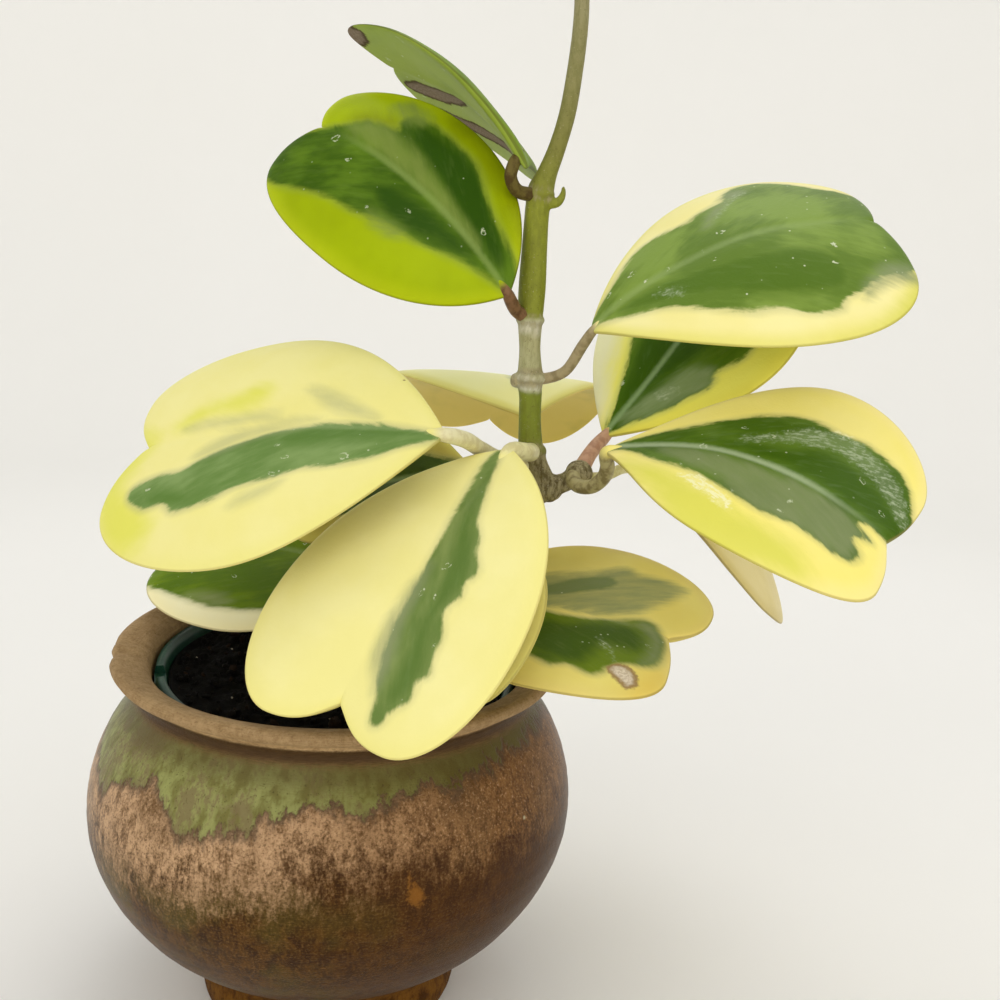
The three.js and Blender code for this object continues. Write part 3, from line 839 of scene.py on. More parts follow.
@dataclass
class Stem:
    """The vine: barky old wood, the green shoot with its ringed nodes, and the buds at its tip.

    Limbs are rows of x, y, z and radius, and rings are places and half sizes, all in millimetres; the heights
    between which the skin's colours run are in metres.
    """

    old_wood: tuple[tuple[float, ...], ...] = (
        (19, 15, 66, 4), (19, 15, 83, 4), (19, 15, 98, 4), (20.8, 14.5, 106, 3.9), (26, 13, 114, 3.9),
        (37, 10, 130, 3.7), (48, 4.5, 145, 3.7), (57, 0.3, 155.6, 3.6), (62.5, -0.5, 157.6, 2.8),
        (67, -0.5, 160.8, 3.1),
    )
    shoot: tuple[tuple[float, ...], ...] = (
        (58, 0.3, 155, 3.2), (57.2, 0, 157, 3.4), (55.3, 0, 161, 3.1), (52.8, 0, 166.6, 3.5),
        (51.9, 0, 174, 3.2), (51.6, 0, 181, 3.2), (51.2, 0, 186.8, 3.6), (50.6, 0, 195, 3),
        (50.2, 0, 202.9, 3.5), (50.2, 0, 212, 3.8), (50.2, 0, 224, 3.5), (50.4, 0, 234, 3.4),
        (51, 0, 238, 3.6), (52.4, 0, 242.4, 2.8), (54.6, 0, 249, 2.4), (56.8, 0, 258, 2.3),
        (58.1, 0, 269, 2.2), (58.8, 0, 280, 2.1), (58.6, 0.2, 289, 2), (57.2, 0.8, 299, 1.7),
        (54.2, 1.6, 308, 1.4), (49.5, 2.4, 315, 1.1),
    )
    bract: tuple[tuple[float, ...], ...] = (
        (52.5, -0.5, 234.5, 1.6), (55.6, -1, 234.8, 1.3), (57, -1, 237, 0.9), (57, -1, 239.4, 0.4),
    )
    buds: tuple[tuple[tuple[float, ...], ...], ...] = (
        ((49.6, 2.4, 314.8, 1.1), (47, 1.2, 317, 1.7), (43.6, -0.2, 318.4, 1.5), (41, -1, 318.8, 0.5)),
        ((49.4, 2.4, 315, 1.1), (48.6, 4, 317.4, 1.6), (46.8, 5.6, 319.6, 1.3), (45, 6.4, 321, 0.4)),
    )
    rings: tuple[tuple[Point, Point], ...] = (
        ((58.3, 0.2, 155.4), (4.2, 4, 3.8)), ((66.8, -0.4, 160.8), (3.9, 3.9, 3.7)),
        ((52.9, 0, 166.2), (4.3, 4.1, 3)), ((51.3, 0, 187), (4.7, 4.5, 2.3)),
        ((47.2, -0.6, 186), (1.7, 1.7, 2.1)), ((50.2, 0, 203), (4.1, 4.1, 2)),
        ((50.8, 0, 236.8), (4.1, 4.1, 2)), ((26, 13, 114), (4.6, 4.6, 3)),
        ((39.5, 8.6, 133.2), (4.4, 4.4, 3)),
    )
    wood_faces: tuple[int, int] = (28, 90)
    shoot_faces: tuple[int, int] = (28, 150)
    tip_faces: tuple[int, int] = (14, 24)
    voxel: float = 0.36
    smoothings: int = 3
    young_from: float = 168.0
    young_over: float = 4.0
    bark_depth: float = 0.34
    tint_from: float = 0.150
    tint_to: float = 0.300

    def _united(self) -> bmesh.types.BMesh:
        """All limbs and nodes as one skin.

        Returns:
            The mesh, in metres.
        """
        mesh = bmesh.new()
        limbs = [(self.old_wood, *self.wood_faces), (self.shoot, *self.shoot_faces)]
        limbs += [(tip, *self.tip_faces) for tip in (self.bract, *self.buds)]
        for points, sides, steps in limbs:
            verts, _, places = tube(mesh, list(points), sides, steps)
            settle(mesh, verts, places)
        for at, size in self.rings:
            ball = bmesh.ops.create_icosphere(mesh, subdivisions=4, radius=1.0)["verts"]
            matrix = Matrix.Translation(Vector(at) * MM) @ Matrix.Diagonal((*(c * MM for c in size), 1.0))
            bmesh.ops.transform(mesh, matrix=matrix, verts=ball)
        bmesh.ops.recalc_face_normals(mesh, faces=mesh.faces)
        data = bpy.data.meshes.new("stem_rough")
        mesh.to_mesh(data)
        mesh.free()
        rough = bpy.data.objects.new("stem_rough", data)
        bpy.context.scene.collection.objects.link(rough)
        remesh = rough.modifiers.new("one skin", "REMESH")
        remesh.mode = "VOXEL"
        remesh.voxel_size = self.voxel * MM
        evaluated = rough.evaluated_get(bpy.context.evaluated_depsgraph_get())
        united = bmesh.new()
        united.from_mesh(evaluated.to_mesh())
        evaluated.to_mesh_clear()
        bpy.data.objects.remove(rough)
        for _ in range(self.smoothings):
            bmesh.ops.smooth_vert(united, verts=united.verts, factor=0.5, use_axis_x=True, use_axis_y=True,
                                  use_axis_z=True)
        return united

    def _bark(self, mesh: bmesh.types.BMesh) -> None:
        """Roughens the old wood and the nodes, and leaves the shoot nearly smooth.

        Args:
            mesh: the stem's mesh, which also gets its share of bark as a number.
        """
        mesh.normal_update()
        rings = [(Vector(at) * MM, max(size) * MM) for at, size in self.rings]
        bark = mesh.verts.layers.float.new("bark")
        moves = []
        for vert in mesh.verts:
            height = vert.co.z / MM
            old = max(0.0, min(1.0, (self.young_from - height) / self.young_over))
            near = max(math.exp(-((vert.co - at).length / size) ** 4) for at, size in rings)
            rough = max(old, near)
            vert[bark] = rough
            grain = noise.noise(vert.co * 420) * 0.5 + noise.noise(vert.co * 1100) * 0.28
            cracks = -abs(noise.noise(Vector((vert.co.x * 900, vert.co.y * 900, vert.co.z * 240)))) * 0.5
            moves.append((grain * (0.1 + 0.55 * rough) + cracks * 0.5 * rough) * self.bark_depth * MM)
        for vert, move in zip(mesh.verts, moves):
            vert.co += vert.normal * move

    def _material(self) -> bpy.types.Material:
        """Green young shoot, grey-brown wood, pale corky nodes.

        Returns:
            The finished material.
        """
        made = Finish("vine")
        where = made.node("TexCoord").outputs["Object"]
        x, y, z = made.parts(where)
        bark = made.attribute("bark")
        tall = made.point(x * 3.0, y * 3.0, z)
        grain = made.noise(tall, 260, 4, 0.65)
        cloud = made.noise(where, 90, 3)
        fine = made.noise(where, 1500, 3, 0.7)
        share = (z - self.tint_from) / (self.tint_to - self.tint_from)
        stops = [
            (0.0, rgb(120, 110, 74)), (0.09, rgb(140, 134, 80)), (0.14, rgb(122, 132, 38)),
            (0.218, rgb(124, 136, 42)), (0.228, rgb(208, 206, 182)), (0.245, rgb(204, 200, 172)),
            (0.26, rgb(178, 176, 132)), (0.32, rgb(176, 172, 128)), (0.335, rgb(206, 202, 176)),
            (0.348, rgb(202, 198, 170)), (0.36, rgb(138, 144, 48)), (0.55, rgb(140, 146, 44)),
            (0.66, rgb(130, 128, 62)), (0.9, rgb(150, 144, 104)),
        ]
        skin = made.node("ValToRGB", {"stops": stops}, {0: share + (cloud - 0.5) * 0.03}).outputs[0]
        skin = made.mix(grain.step(0.35, 0.7) * 0.4, skin, rgb(100, 100, 34))
        skin = made.mix(fine.step(0.60, 0.70) * 0.5, skin, rgb(76, 64, 30))
        skin = made.mix(fine.step(0.36, 0.30) * 0.5, skin, rgb(188, 184, 150))
        wood = made.mix(grain.step(0.35, 0.62), rgb(104, 92, 60), rgb(172, 162, 124))
        wood = made.mix(cloud.step(0.5, 0.7) * 0.5, wood, rgb(122, 116, 66))
        wood = made.mix(fine.step(0.6, 0.7) * 0.55, wood, rgb(208, 200, 174))
        wood = made.mix(fine.step(0.40, 0.32) * 0.6, wood, rgb(70, 56, 34))
        colour = made.mix((bark + (grain - 0.5) * 0.5).step(0.3, 0.75), skin, wood)
        made.bump(grain * 0.6 + fine * 0.4, 0.0003)
        return made.dress(colour, 0.5 + bark * 0.25 + (fine - 0.5) * 0.1, Specular_IOR_Level=0.2)

    def build(self) -> bpy.types.Object:
        """Builds the stem and dresses it.

        Returns:
            The finished stem.
        """
        mesh = self._united()
        self._bark(mesh)
        return piece("main_stem_look", mesh, self._material(), "main_stem")


@dataclass
class TurnedProfile:
    """A rounded profile of radius and height pairs, in millimetres, from the axis back to the axis."""

    pairs: tuple[Flat, ...]

    def at(self, shares: np.ndarray) -> np.ndarray:
        """The radius and height at shares of the profile's own length.

        Args:
            shares: shares of the length, 0 to 1.

        Returns:
            The pairs, one row each.
        """
        given = np.array(self.pairs, float)
        padded = np.vstack([2 * given[0] - given[1], given, 2 * given[-1] - given[-2]])
        line = []
        for i in range(len(given) - 1):
            a, b, c, d = padded[i:i + 4]
            for t in np.arange(0, 1, 0.125):
                line.append(0.5 * (2 * b + (c - a) * t + (2 * a - 5 * b + 4 * c - d) * t ** 2
                                   + (3 * b - a - 3 * c + d) * t ** 3))
        line.append(given[-1])
        line = np.array(line)
        walked = np.concatenate([[0], np.cumsum(np.linalg.norm(np.diff(line, axis=0), axis=1))])
        walked /= walked[-1]
        radius = np.interp(shares, walked, line[:, 0])
        return np.column_stack([np.maximum(radius, 0), np.interp(shares, walked, line[:, 1])])


@dataclass
class StonewarePot:
    """The round pot with a flared, unglazed lip and a green glaze that runs down its shoulder.

    Drips and band are pairs of an angle round the pot in degrees and a height in millimetres.
    """

    profile: TurnedProfile = field(default_factory=lambda: TurnedProfile((
        (0, 0), (34, 0), (37.5, 0.4), (38.5, 6), (38, 12.5), (41.5, 17.2), (48.5, 22.4), (57, 30), (63, 38),
        (67.2, 46), (69.7, 54), (70.4, 61), (69.9, 68.5), (67.9, 76.5), (64.6, 84), (60.6, 89.8),
        (57.9, 93.4), (57.2, 96), (59, 98.6), (62.8, 100.8), (64.2, 102.4), (63.4, 103.9), (61.2, 104.2),
        (56.4, 102.8), (53.8, 100.4), (53, 96), (54.2, 91.4), (61.4, 80), (65.2, 68), (65.4, 57),
        (62.4, 46), (56, 35), (45, 23.6), (33, 15), (0, 15))))
    drips: tuple[Flat, ...] = (
        (0, 91), (14, 86), (24, 89), (38, 82), (52, 87), (66, 84), (80, 78), (92, 84), (108, 86), (122, 80),
        (134, 76), (146, 83), (160, 86), (176, 80), (192, 84), (203, 80), (211, 77), (220, 78), (226, 81),
        (233, 84.5), (238, 83), (242, 79), (245, 76.5), (250, 77.5), (258, 80), (264, 83), (270, 84),
        (277, 87), (283, 84.5), (292, 87), (301, 90), (307, 86), (313, 88), (324, 90), (335, 90),
        (348, 91.5),
    )
    band: tuple[Flat, ...] = (
        (0, 72), (40, 68), (80, 64), (120, 60), (160, 62), (200, 63), (215, 62.5), (232, 63), (252, 63.5),
        (262, 66), (272, 70), (284, 72.5), (303, 71), (318, 69), (330, 72),
    )
    chip_angle: float = 197.0
    lip_rise: float = 5.0
    rise_angle: float = 130.0
    inner_from: Flat = (0.50, 0.52)
    amber_angle: float = 295.2
    amber_reach: float = 66.0
    amber_height: float = 64.0
    amber_radius: float = 2.1
    around: int = 288
    along: int = 200

    def _level(self, table: tuple[Flat, ...], degrees: np.ndarray) -> np.ndarray:
        """A height that runs smoothly round the pot through the table's angles and heights."""
        angles, heights = np.array(table, float).T
        return np.interp(degrees, angles, heights, period=360)

    def _throwing(self, radius: np.ndarray, height: np.ndarray,
                  turn: np.ndarray) -> tuple[np.ndarray, np.ndarray]:
        """Throwing rings, a slight lopsidedness and a worn place on the lip, all inside the true size.

        Args:
            radius: the radius of each place.
            height: its height.
            turn: its angle round the pot, in radians.

        Returns:
            The new radius and height.
        """
        rings = 0.05 * (1 + np.sin(height * 2.1 + 0.4 * np.sin(turn))) + 0.04 * (1 + np.sin(height * 5.3))
        away = np.angle(np.exp(1j * (turn - math.radians(self.chip_angle))))
        chip = np.exp(-(away / 0.05) ** 2) * smooth(height, 99.5, 103)
        second = np.exp(-((away + 0.13) / 0.03) ** 2) * smooth(height, 100.5, 103.4)
        radius = radius - np.where(radius > 1, rings, 0) - 1.1 * chip - 0.4 * second
        wave = 0.12 * (1 + np.sin(3 * turn + 2.2)) * smooth(height, 96, 103)
        return radius, height - 0.7 * chip - 0.4 * second - wave

    def _rise(self, height: np.ndarray, turn: np.ndarray) -> np.ndarray:
        """How far the lip swings up at the back left."""
        share = (1 + np.cos(turn - math.radians(self.rise_angle))) / 2
        return self.lip_rise * share ** 3 * smooth(height, 90, 101)

    def _amber(self, turn: np.ndarray, height: np.ndarray) -> np.ndarray:
        """How far inside the amber drop and its tail each place lies.

        Args:
            turn: the angle of each place round the pot, in radians.
            height: its height.

        Returns:
            Millimetres for each place, negative outside.
        """
        away = np.angle(np.exp(1j * (turn - math.radians(self.amber_angle)))) * self.amber_reach
        above = height - self.amber_height
        tail = np.clip(above, 0, None)
        slim = np.where(above > 0, 0.34, 0.9)
        return self.amber_radius - np.hypot((away + 0.28 * tail) * (1 + 0.22 * tail), slim * above)

    def _material(self) -> bpy.types.Material:
        """Runny green over speckled tan and brown glaze, bare clay at lip and foot; painted shade, reflection
        and glints.

        Returns:
            The finished material.
        """
        made = Finish("stoneware")
        where = made.node("TexCoord").outputs["Object"]
        x, y, z = made.parts(where)
        drip, band, inner = made.attribute("drip"), made.attribute("band"), made.attribute("inner")
        turn, height = made.attribute("turn"), made.attribute("level")
        runs = made.noise(made.point(x, y, z * 0.25), 260, 3, 0.6)
        wide_runs = made.noise(made.point(x, y, z * 0.2), 80, 2)
        hair = made.noise(made.point(x, y, z * 0.35), 900, 3, 0.65)
        fine = made.noise(where, 1500, 3, 0.7)
        blotch = made.noise(made.point(x, y, z * 0.6), 330, 4, 0.7)
        cloud = made.noise(where, 55, 3)
        grain = made.noise(made.point(turn * 0.06, height * 0.02, 0.0), 260, 4, 0.65)
        # painted shade and a painted warm reflection: this mask darkens and warms the right side of the pot
        # in every glaze
        right = x.step(-0.025, 0.058)
        reach = (runs - 0.5) * 11 + (wide_runs - 0.5) * 7 + (hair - 0.5) * 6
        specks = blotch * 0.6 + hair * 0.2 + fine * 0.2
        brown = made.mix(specks.step(0.40, 0.62), rgb(52, 30, 4), rgb(92, 60, 16))
        brown = made.mix(cloud.step(0.47, 0.64) * (0.62 - right * 0.5), brown, rgb(84, 74, 24))
        brown = made.mix((fine * 0.6 + grain * 0.4).step(0.50, 0.64) * 0.6, brown, rgb(132, 98, 52))
        brown = made.mix((grain * 0.5 + fine * 0.5).step(0.47, 0.36) * 0.6, brown, rgb(30, 18, 6))
        # painted shade and painted warm reflection on the right side of the brown glaze
        brown = made.mix(right * 0.6, brown, rgb(62, 32, 4))
        tan = made.mix(specks.step(0.36, 0.60), rgb(118, 88, 56), rgb(196, 160, 122))
        # painted shade: ochre is a darker copy of the tan glaze, laid on the shaded right side
        ochre = made.mix(specks.step(0.40, 0.58), rgb(96, 64, 30), rgb(130, 92, 50))
        tan = made.mix(right, tan, ochre)
        tan = made.mix(cloud.step(0.44, 0.62) * 0.35, tan, rgb(104, 78, 48))
        tan = made.mix(fine.step(0.50, 0.34) * 0.55, tan, rgb(74, 50, 28))
        tan = made.mix(fine.step(0.56, 0.72) * 0.5, tan, rgb(206, 172, 134))
        in_band = (band + (specks - 0.5) * 30 + (hair - 0.5) * 10 + (cloud - 0.5) * 24).step(-8.0, 8.0)
        body = made.mix(in_band, brown, tan)
        green = made.mix(runs.step(0.36, 0.62), rgb(114, 110, 58), rgb(150, 154, 92))
        greyed = (wide_runs * 0.6 + runs * 0.4 + (hair - 0.5) * 0.35).step(0.50, 0.62) * 0.75
        green = made.mix(greyed, green, rgb(120, 102, 72))
        green = made.mix(fine.step(0.42, 0.32) * 0.6, green, rgb(56, 46, 20))
        # painted shade and painted warm reflection on the right side of the green glaze
        green = made.mix(right * 0.85, green, rgb(78, 66, 8))
        green = made.mix((height + (grain - 0.5) * 4).step(86.5, 91.5) * 0.6, green, rgb(92, 82, 46))
        flow = drip + reach
        body = made.mix(flow.step(-3.4, -0.4) * 0.75, body, rgb(78, 62, 46))
        body = made.mix(flow.step(-0.7, 0.7), body, green)
        # painted shade in the hollow under the flared lip: the dark groove line is painted shade, and the
        # neck's darkening is its own brown clay together with painted shade
        groove = (height + (fine - 0.5) * 0.8).step(93.2, 95.2)
        neck_colour_and_shade = (height + (fine - 0.5) * 1.5 + (grain - 0.5) * 3).step(92.0, 94.6)
        body = made.mix(neck_colour_and_shade * 0.9, body, made.mix(grain.step(0.4, 0.6), rgb(84, 58, 28), rgb(116, 88, 54)))
        body = made.mix(groove * 0.7, body, rgb(56, 38, 20))
        clay = made.mix((grain * 0.3 + specks * 0.7).step(0.38, 0.62), rgb(162, 130, 88), rgb(214, 180, 132))
        clay = made.mix(fine.step(0.58, 0.7) * 0.4, clay, rgb(222, 194, 154))
        clay = made.mix(fine.step(0.42, 0.33) * 0.5, clay, rgb(118, 90, 58))
        # painted shade: the lip's inner face is darkened where shade falls inside the mouth
        clay = made.mix(inner * 0.5, clay, rgb(120, 98, 66))
        lip = (height + (fine - 0.5) * 0.8).step(97.0, 98.4).most(inner)
        body = made.mix(lip, body, clay)
        # The foot's bare clay, darkened with painted shade for the shadow under the belly of the pot: partly
        # its own colour, partly painted shade.
        foot_clay_and_shade = made.mix(specks.step(0.40, 0.60), rgb(68, 38, 2), rgb(116, 76, 22))
        foot = (height + (cloud - 0.5) * 10 + (specks - 0.5) * 6).step(27.0, 20.0)
        body = made.mix(foot * (1 - inner), body, foot_clay_and_shade)
        amber = made.attribute("amber") + (fine - 0.5) * 2.4 + (blotch - 0.5) * 3.2
        body = made.mix(amber.step(-0.9, 0.9) * 0.7, body, rgb(142, 92, 30))
        # painted highlights: rare pale specks painted into the colour stand for small glints on the glaze
        glint = made.node("TexVoronoi", {"feature": "F1"}, {"Vector": where, "Scale": 70.0})
        rare = made.parts(glint.outputs["Color"])[0].step(0.88, 0.89)
        pale = Value(made, glint.outputs["Distance"]).step(0.06, 0.03) * rare
        body = made.mix(pale * 0.7, body, rgb(206, 204, 168))
        bare = lip.most(foot)
        roughness = 0.34 + bare * 0.36 + (fine - 0.5) * 0.16 + (hair - 0.5) * 0.1
        relief = grain * 0.5 * (0.3 + bare * 0.7) + fine * 0.3 + flow.step(-0.7, 0.9) * 0.5 * (1 - bare)
        made.bump(relief, 0.0004)
        return made.dress(body, roughness, Specular_IOR_Level=0.1)

    def build(self) -> bpy.types.Object:
        """Builds the pot and dresses it.

        Returns:
            The finished pot.
        """
        mesh = blank("drip", "band", "inner", "turn", "amber", "level")
        verts, shares = wrap(mesh, self.around, self.along)
        turn = 2 * np.pi * shares[:, 0]
        radius, height = self.profile.at(shares[:, 1]).T
        radius, height = self._throwing(radius, height, turn)
        height = np.maximum(height, 0)
        degrees = np.degrees(turn) % 360
        write_layer(mesh, verts, "level", height)
        inner = smooth(shares[:, 1], *self.inner_from)
        write_layer(mesh, verts, "drip", height - self._level(self.drips, degrees))
        write_layer(mesh, verts, "band", np.where(height > 0, height - self._level(self.band, degrees), 0))
        write_layer(mesh, verts, "inner", inner)
        write_layer(mesh, verts, "turn", np.abs(np.angle(np.exp(1j * turn))))
        write_layer(mesh, verts, "amber", self._amber(turn, height))
        raised = height + self._rise(height, turn)
        settle(mesh, verts, np.column_stack([radius * np.cos(turn), radius * np.sin(turn), raised]))
        return piece("stoneware_pot_look", mesh, self._material(), "stoneware_pot")


@dataclass(frozen=True)
class Lean:
    """How the liner and its soil lean in the stoneware pot, highest at the back left."""

    back: float = 5.0
    left: float = 3.0
    pivot: float = 98.0
    lift: float = 3.0

    def matrix(self) -> Matrix:
        """Turns about the pivot, then lifts.

        Returns:
            The matrix, in metres.
        """
        pivot = Matrix.Translation((0, 0, self.pivot * MM))
        left = Matrix.Rotation(math.radians(self.left), 4, "Y")
        back = Matrix.Rotation(math.radians(self.back), 4, "X")
        return Matrix.Translation((0, 0, self.lift * MM)) @ pivot @ (left @ back) @ pivot.inverted()


@dataclass
class NurseryPot:
    """The thin green liner with its rolled rim and the slot for a hanger."""

    profile: TurnedProfile = field(default_factory=lambda: TurnedProfile((
        (0, 15.3), (31, 15.3), (32, 16.3), (34, 25.6), (46.5, 82.8), (47.7, 88.4), (48.6, 88.9), (51.4, 89),
        (52, 90), (52.1, 95.4), (51.5, 96.5), (50.4, 96.8), (49.6, 96.2), (49.2, 94.4), (47.9, 91),
        (46.7, 88.4), (45.4, 82.6), (33, 25.8), (30.9, 17.4), (29.4, 16.9), (0, 16.8))))
    slot_angle: float = 200.0
    slot_size: Point = (6, 7, 3.4)
    rim: Flat = (52, 95.8)
    around: int = 160
    along: int = 110

    def _slotted(self, made: bpy.types.Object) -> None:
        """Cuts the hanger's slot into the rim.

        Args:
            made: the liner, whose mesh is replaced.
        """
        mesh = bmesh.new()
        bmesh.ops.create_cube(mesh, size=1.0)
        turn = Matrix.Rotation(math.radians(self.slot_angle), 4, "Z")
        place = Matrix.Translation((self.rim[0] * MM, 0, self.rim[1] * MM))
        size = Matrix.Diagonal((*(side * MM for side in self.slot_size), 1.0))
        bmesh.ops.transform(mesh, matrix=turn @ place @ size, verts=mesh.verts)
        data = bpy.data.meshes.new("slot_cutter")
        mesh.to_mesh(data)
        mesh.free()
        cutter = bpy.data.objects.new("slot_cutter", data)
        bpy.context.scene.collection.objects.link(cutter)
        cut = made.modifiers.new("slot", "BOOLEAN")
        cut.operation = "DIFFERENCE"
        cut.solver = "EXACT"
        cut.object = cutter
        evaluated = made.evaluated_get(bpy.context.evaluated_depsgraph_get())
        whole = bpy.data.meshes.new_from_object(evaluated)
        made.modifiers.clear()
        made.data = whole
        bpy.data.objects.remove(cutter)

    def _material(self) -> bpy.types.Material:
        """Moulded green plastic, a little dusty.

        Returns:
            The finished material.
        """
        made = Finish("liner_plastic")
        where = made.node("TexCoord").outputs["Object"]
        cloud = made.noise(where, 60, 3)
        fine = made.noise(where, 1400, 3, 0.7)
        colour = made.mix(cloud.step(0.35, 0.65), rgb(16, 56, 42), rgb(28, 74, 56))
        colour = made.mix(fine.step(0.66, 0.76) * 0.3, colour, rgb(110, 132, 114))
        made.bump(fine * 0.5 + cloud * 0.2, 0.0001)
        return made.dress(colour, 0.38 + (fine - 0.5) * 0.2, Specular_IOR_Level=0.25)

    def build(self) -> bpy.types.Object:
        """Builds the liner and dresses it.

        Returns:
            The finished liner.
        """
        mesh = bmesh.new()
        verts, shares = wrap(mesh, self.around, self.along)
        turn = 2 * np.pi * shares[:, 0]
        radius, height = self.profile.at(shares[:, 1]).T
        settle(mesh, verts, np.column_stack([radius * np.cos(turn), radius * np.sin(turn), height]))
        made = piece("nursery_pot_look", mesh, self._material(), "nursery_pot")
        self._slotted(made)
        made.data.transform(Lean().matrix())
        return made


@dataclass
class Soil:
    """Dark, crumbly mix with bits of bark and a few pale grains."""

    radius: float = 47.6
    bottom: float = 18.6
    level: float = 93.4
    crown: float = 1.2
    crumbs: int = 620
    pale_from: float = 0.975
    around: int = 200
    along: int = 150
    side_faces: float = 0.3
    side_length: float = 0.66

    def _body(self, mesh: bmesh.types.BMesh) -> None:
        """Adds the mass of soil with its crumbly top.

        Args:
            mesh: the mesh that takes it.
        """
        verts, shares = wrap(mesh, self.around, self.along)
        turn = 2 * np.pi * shares[:, 0]
        profile = TurnedProfile(((0, self.bottom), (29, self.bottom), (30.2, 20), (45.4, 85), (45.9, 88),
                                 (47, 91), (self.radius, self.level - 0.6), (self.radius - 0.8, self.level),
                                 (30, self.level + 0.8), (0, self.level + self.crown)))
        side = shares[:, 1] * self.side_length / self.side_faces
        top = (shares[:, 1] - self.side_faces) * (1 - self.side_length) / (1 - self.side_faces)
        share = np.where(shares[:, 1] < self.side_faces, side, self.side_length + top)
        radius, height = profile.at(share).T
        places = np.column_stack([radius * np.cos(turn), radius * np.sin(turn), height])
        top = smooth(height, 91.5, 93) * (1 - smooth(radius, 46, 47.5))
        lumps = []
        for place in places:
            here = Vector(place)
            lumps.append(noise.noise(here * 0.22) * 0.9 + noise.noise(here * 0.6) * 0.8
                         + noise.noise(here * 1.5) * 0.4)
        places[:, 2] += top * (np.array(lumps) * 1.15 - 0.5)
        write_layer(mesh, verts, "grain", np.zeros(len(verts)))
        settle(mesh, verts, places)

    def _crumb(self, mesh: bmesh.types.BMesh, draw: np.random.Generator) -> None:
        """Adds one crumb, half sunk into the top.

        Args:
            mesh: the mesh that takes it.
            draw: the source of its random place, size and turn.
        """
        way, out = draw.uniform(0, 2 * np.pi), (self.radius - 1.2) * math.sqrt(draw.uniform(0, 1))
        pale = draw.uniform(0, 1) > self.pale_from
        size = draw.uniform(0.3, 0.55) if pale else draw.gamma(2.2, 0.32) + 0.3
        place = Vector((out * math.cos(way), out * math.sin(way), self.level + 0.5 + draw.uniform(-0.3, 0.5)))
        ball = bmesh.ops.create_icosphere(mesh, subdivisions=1, radius=1.0)["verts"]
        shape = Matrix.Diagonal((size, size * draw.uniform(0.5, 1), size * draw.uniform(0.4, 0.8), 1.0))
        turn = Matrix.Rotation(draw.uniform(0, ANY_TURN), 4, Vector(draw.normal(size=3)).normalized())
        for vert in ball:
            vert.co *= 1 + 0.35 * noise.noise(vert.co * 1.7 + place)
        matrix = Matrix.Scale(MM, 4) @ Matrix.Translation(place) @ turn @ shape
        bmesh.ops.transform(mesh, matrix=matrix, verts=ball)
        write_layer(mesh, ball, "grain", np.full(len(ball), 1.0 if pale else draw.uniform(0.05, 0.8)))

    def _material(self) -> bpy.types.Material:
        """Nearly black peat, brown bark bits and pale grains.

        Returns:
            The finished material.
        """
        made = Finish("peat")
        where = made.node("TexCoord").outputs["Object"]
        grain = made.attribute("grain")
        fine = made.noise(where, 1500, 4, 0.7)
        cloud = made.noise(where, 240, 3)
        colour = made.mix(cloud.step(0.4, 0.65), rgb(6, 5, 3), rgb(12, 10, 7))
        colour = made.mix((grain - 0.55).step(0.0, 0.3) * 0.7, colour, rgb(44, 30, 19))
        colour = made.mix(fine.step(0.68, 0.76) * 0.3, colour, rgb(64, 52, 38))
        colour = made.mix(grain.step(0.9, 0.95), colour, rgb(170, 162, 140))
        made.bump(fine * 0.6 + cloud * 0.6, 0.0006)
        return made.dress(colour, 0.9 + (fine - 0.5) * 0.1, Specular_IOR_Level=0.12)

    def build(self) -> bpy.types.Object:
        """Builds the soil and dresses it.

        Returns:
            The finished soil.
        """
        mesh = blank("grain")
        self._body(mesh)
        draw = np.random.default_rng(SEED)
        for _ in range(self.crumbs):
            self._crumb(mesh, draw)
        bmesh.ops.transform(mesh, matrix=Lean().matrix(), verts=mesh.verts)
        return piece("potting_soil_look", mesh, self._material(), "potting_soil")


def tones(tone: Tone, *outlines: tuple[Flat, ...]) -> tuple[Patch, ...]:
    """Patches of one tone."""
    return tuple(Patch(tone, outline) for outline in outlines)


def leaf_top() -> Leaf:
    """The highest leaf, seen from below: green, with brown scars along one side."""
    return Leaf(
        "leaf_top", "top_leaf",
        LeafShape((46.8, -8, 242.3), 115, 41, 44, 77.5, (25.5, 38), (7, 7), 5, 4, 35.5, -9.5, 0.59, 36,
                  0.8),
        ((43.2, -6.8, 243.4), (42.6, -6.6, 240.2), (44.6, -4, 237), (50.6, 0, 236.5)), 1.7,
        LeafLook(green=rgb(124, 148, 48), deep=rgb(92, 118, 36), smoke=rgb(150, 160, 100),
                 under=rgb(166, 182, 72), outline=rgb(96, 92, 44), roughness=0.5, petiole=rgb(108, 96, 50),
                 petiole_shade=rgb(72, 54, 30), scar=rgb(134, 116, 104), scar_rim=rgb(70, 50, 38),
                 rib_strength=0.25),
        tones(Tone.GREEN, ((-32, -10), (46, -10), (46, 95), (-34, 95)))
        + tones(Tone.SCAR, ((8, 79), (5, 71), (5, 66), (3, 58), (0, 47), (3, 43), (8, 52), (14, 63.5),
                            (14.5, 72), (12, 79)),
                ((20.5, 79), (20.5, 70.5), (20.5, 64), (18.5, 53), (18.5, 48), (13, 34), (7, 20), (14, 24),
                 (20, 34), (25.5, 48.5), (26.5, 60), (25.5, 71.5), (24, 78)),
                ((-20, 80), (-20.5, 73), (-16.5, 73.5), (-10, 81), (-14, 86))), joint=6)


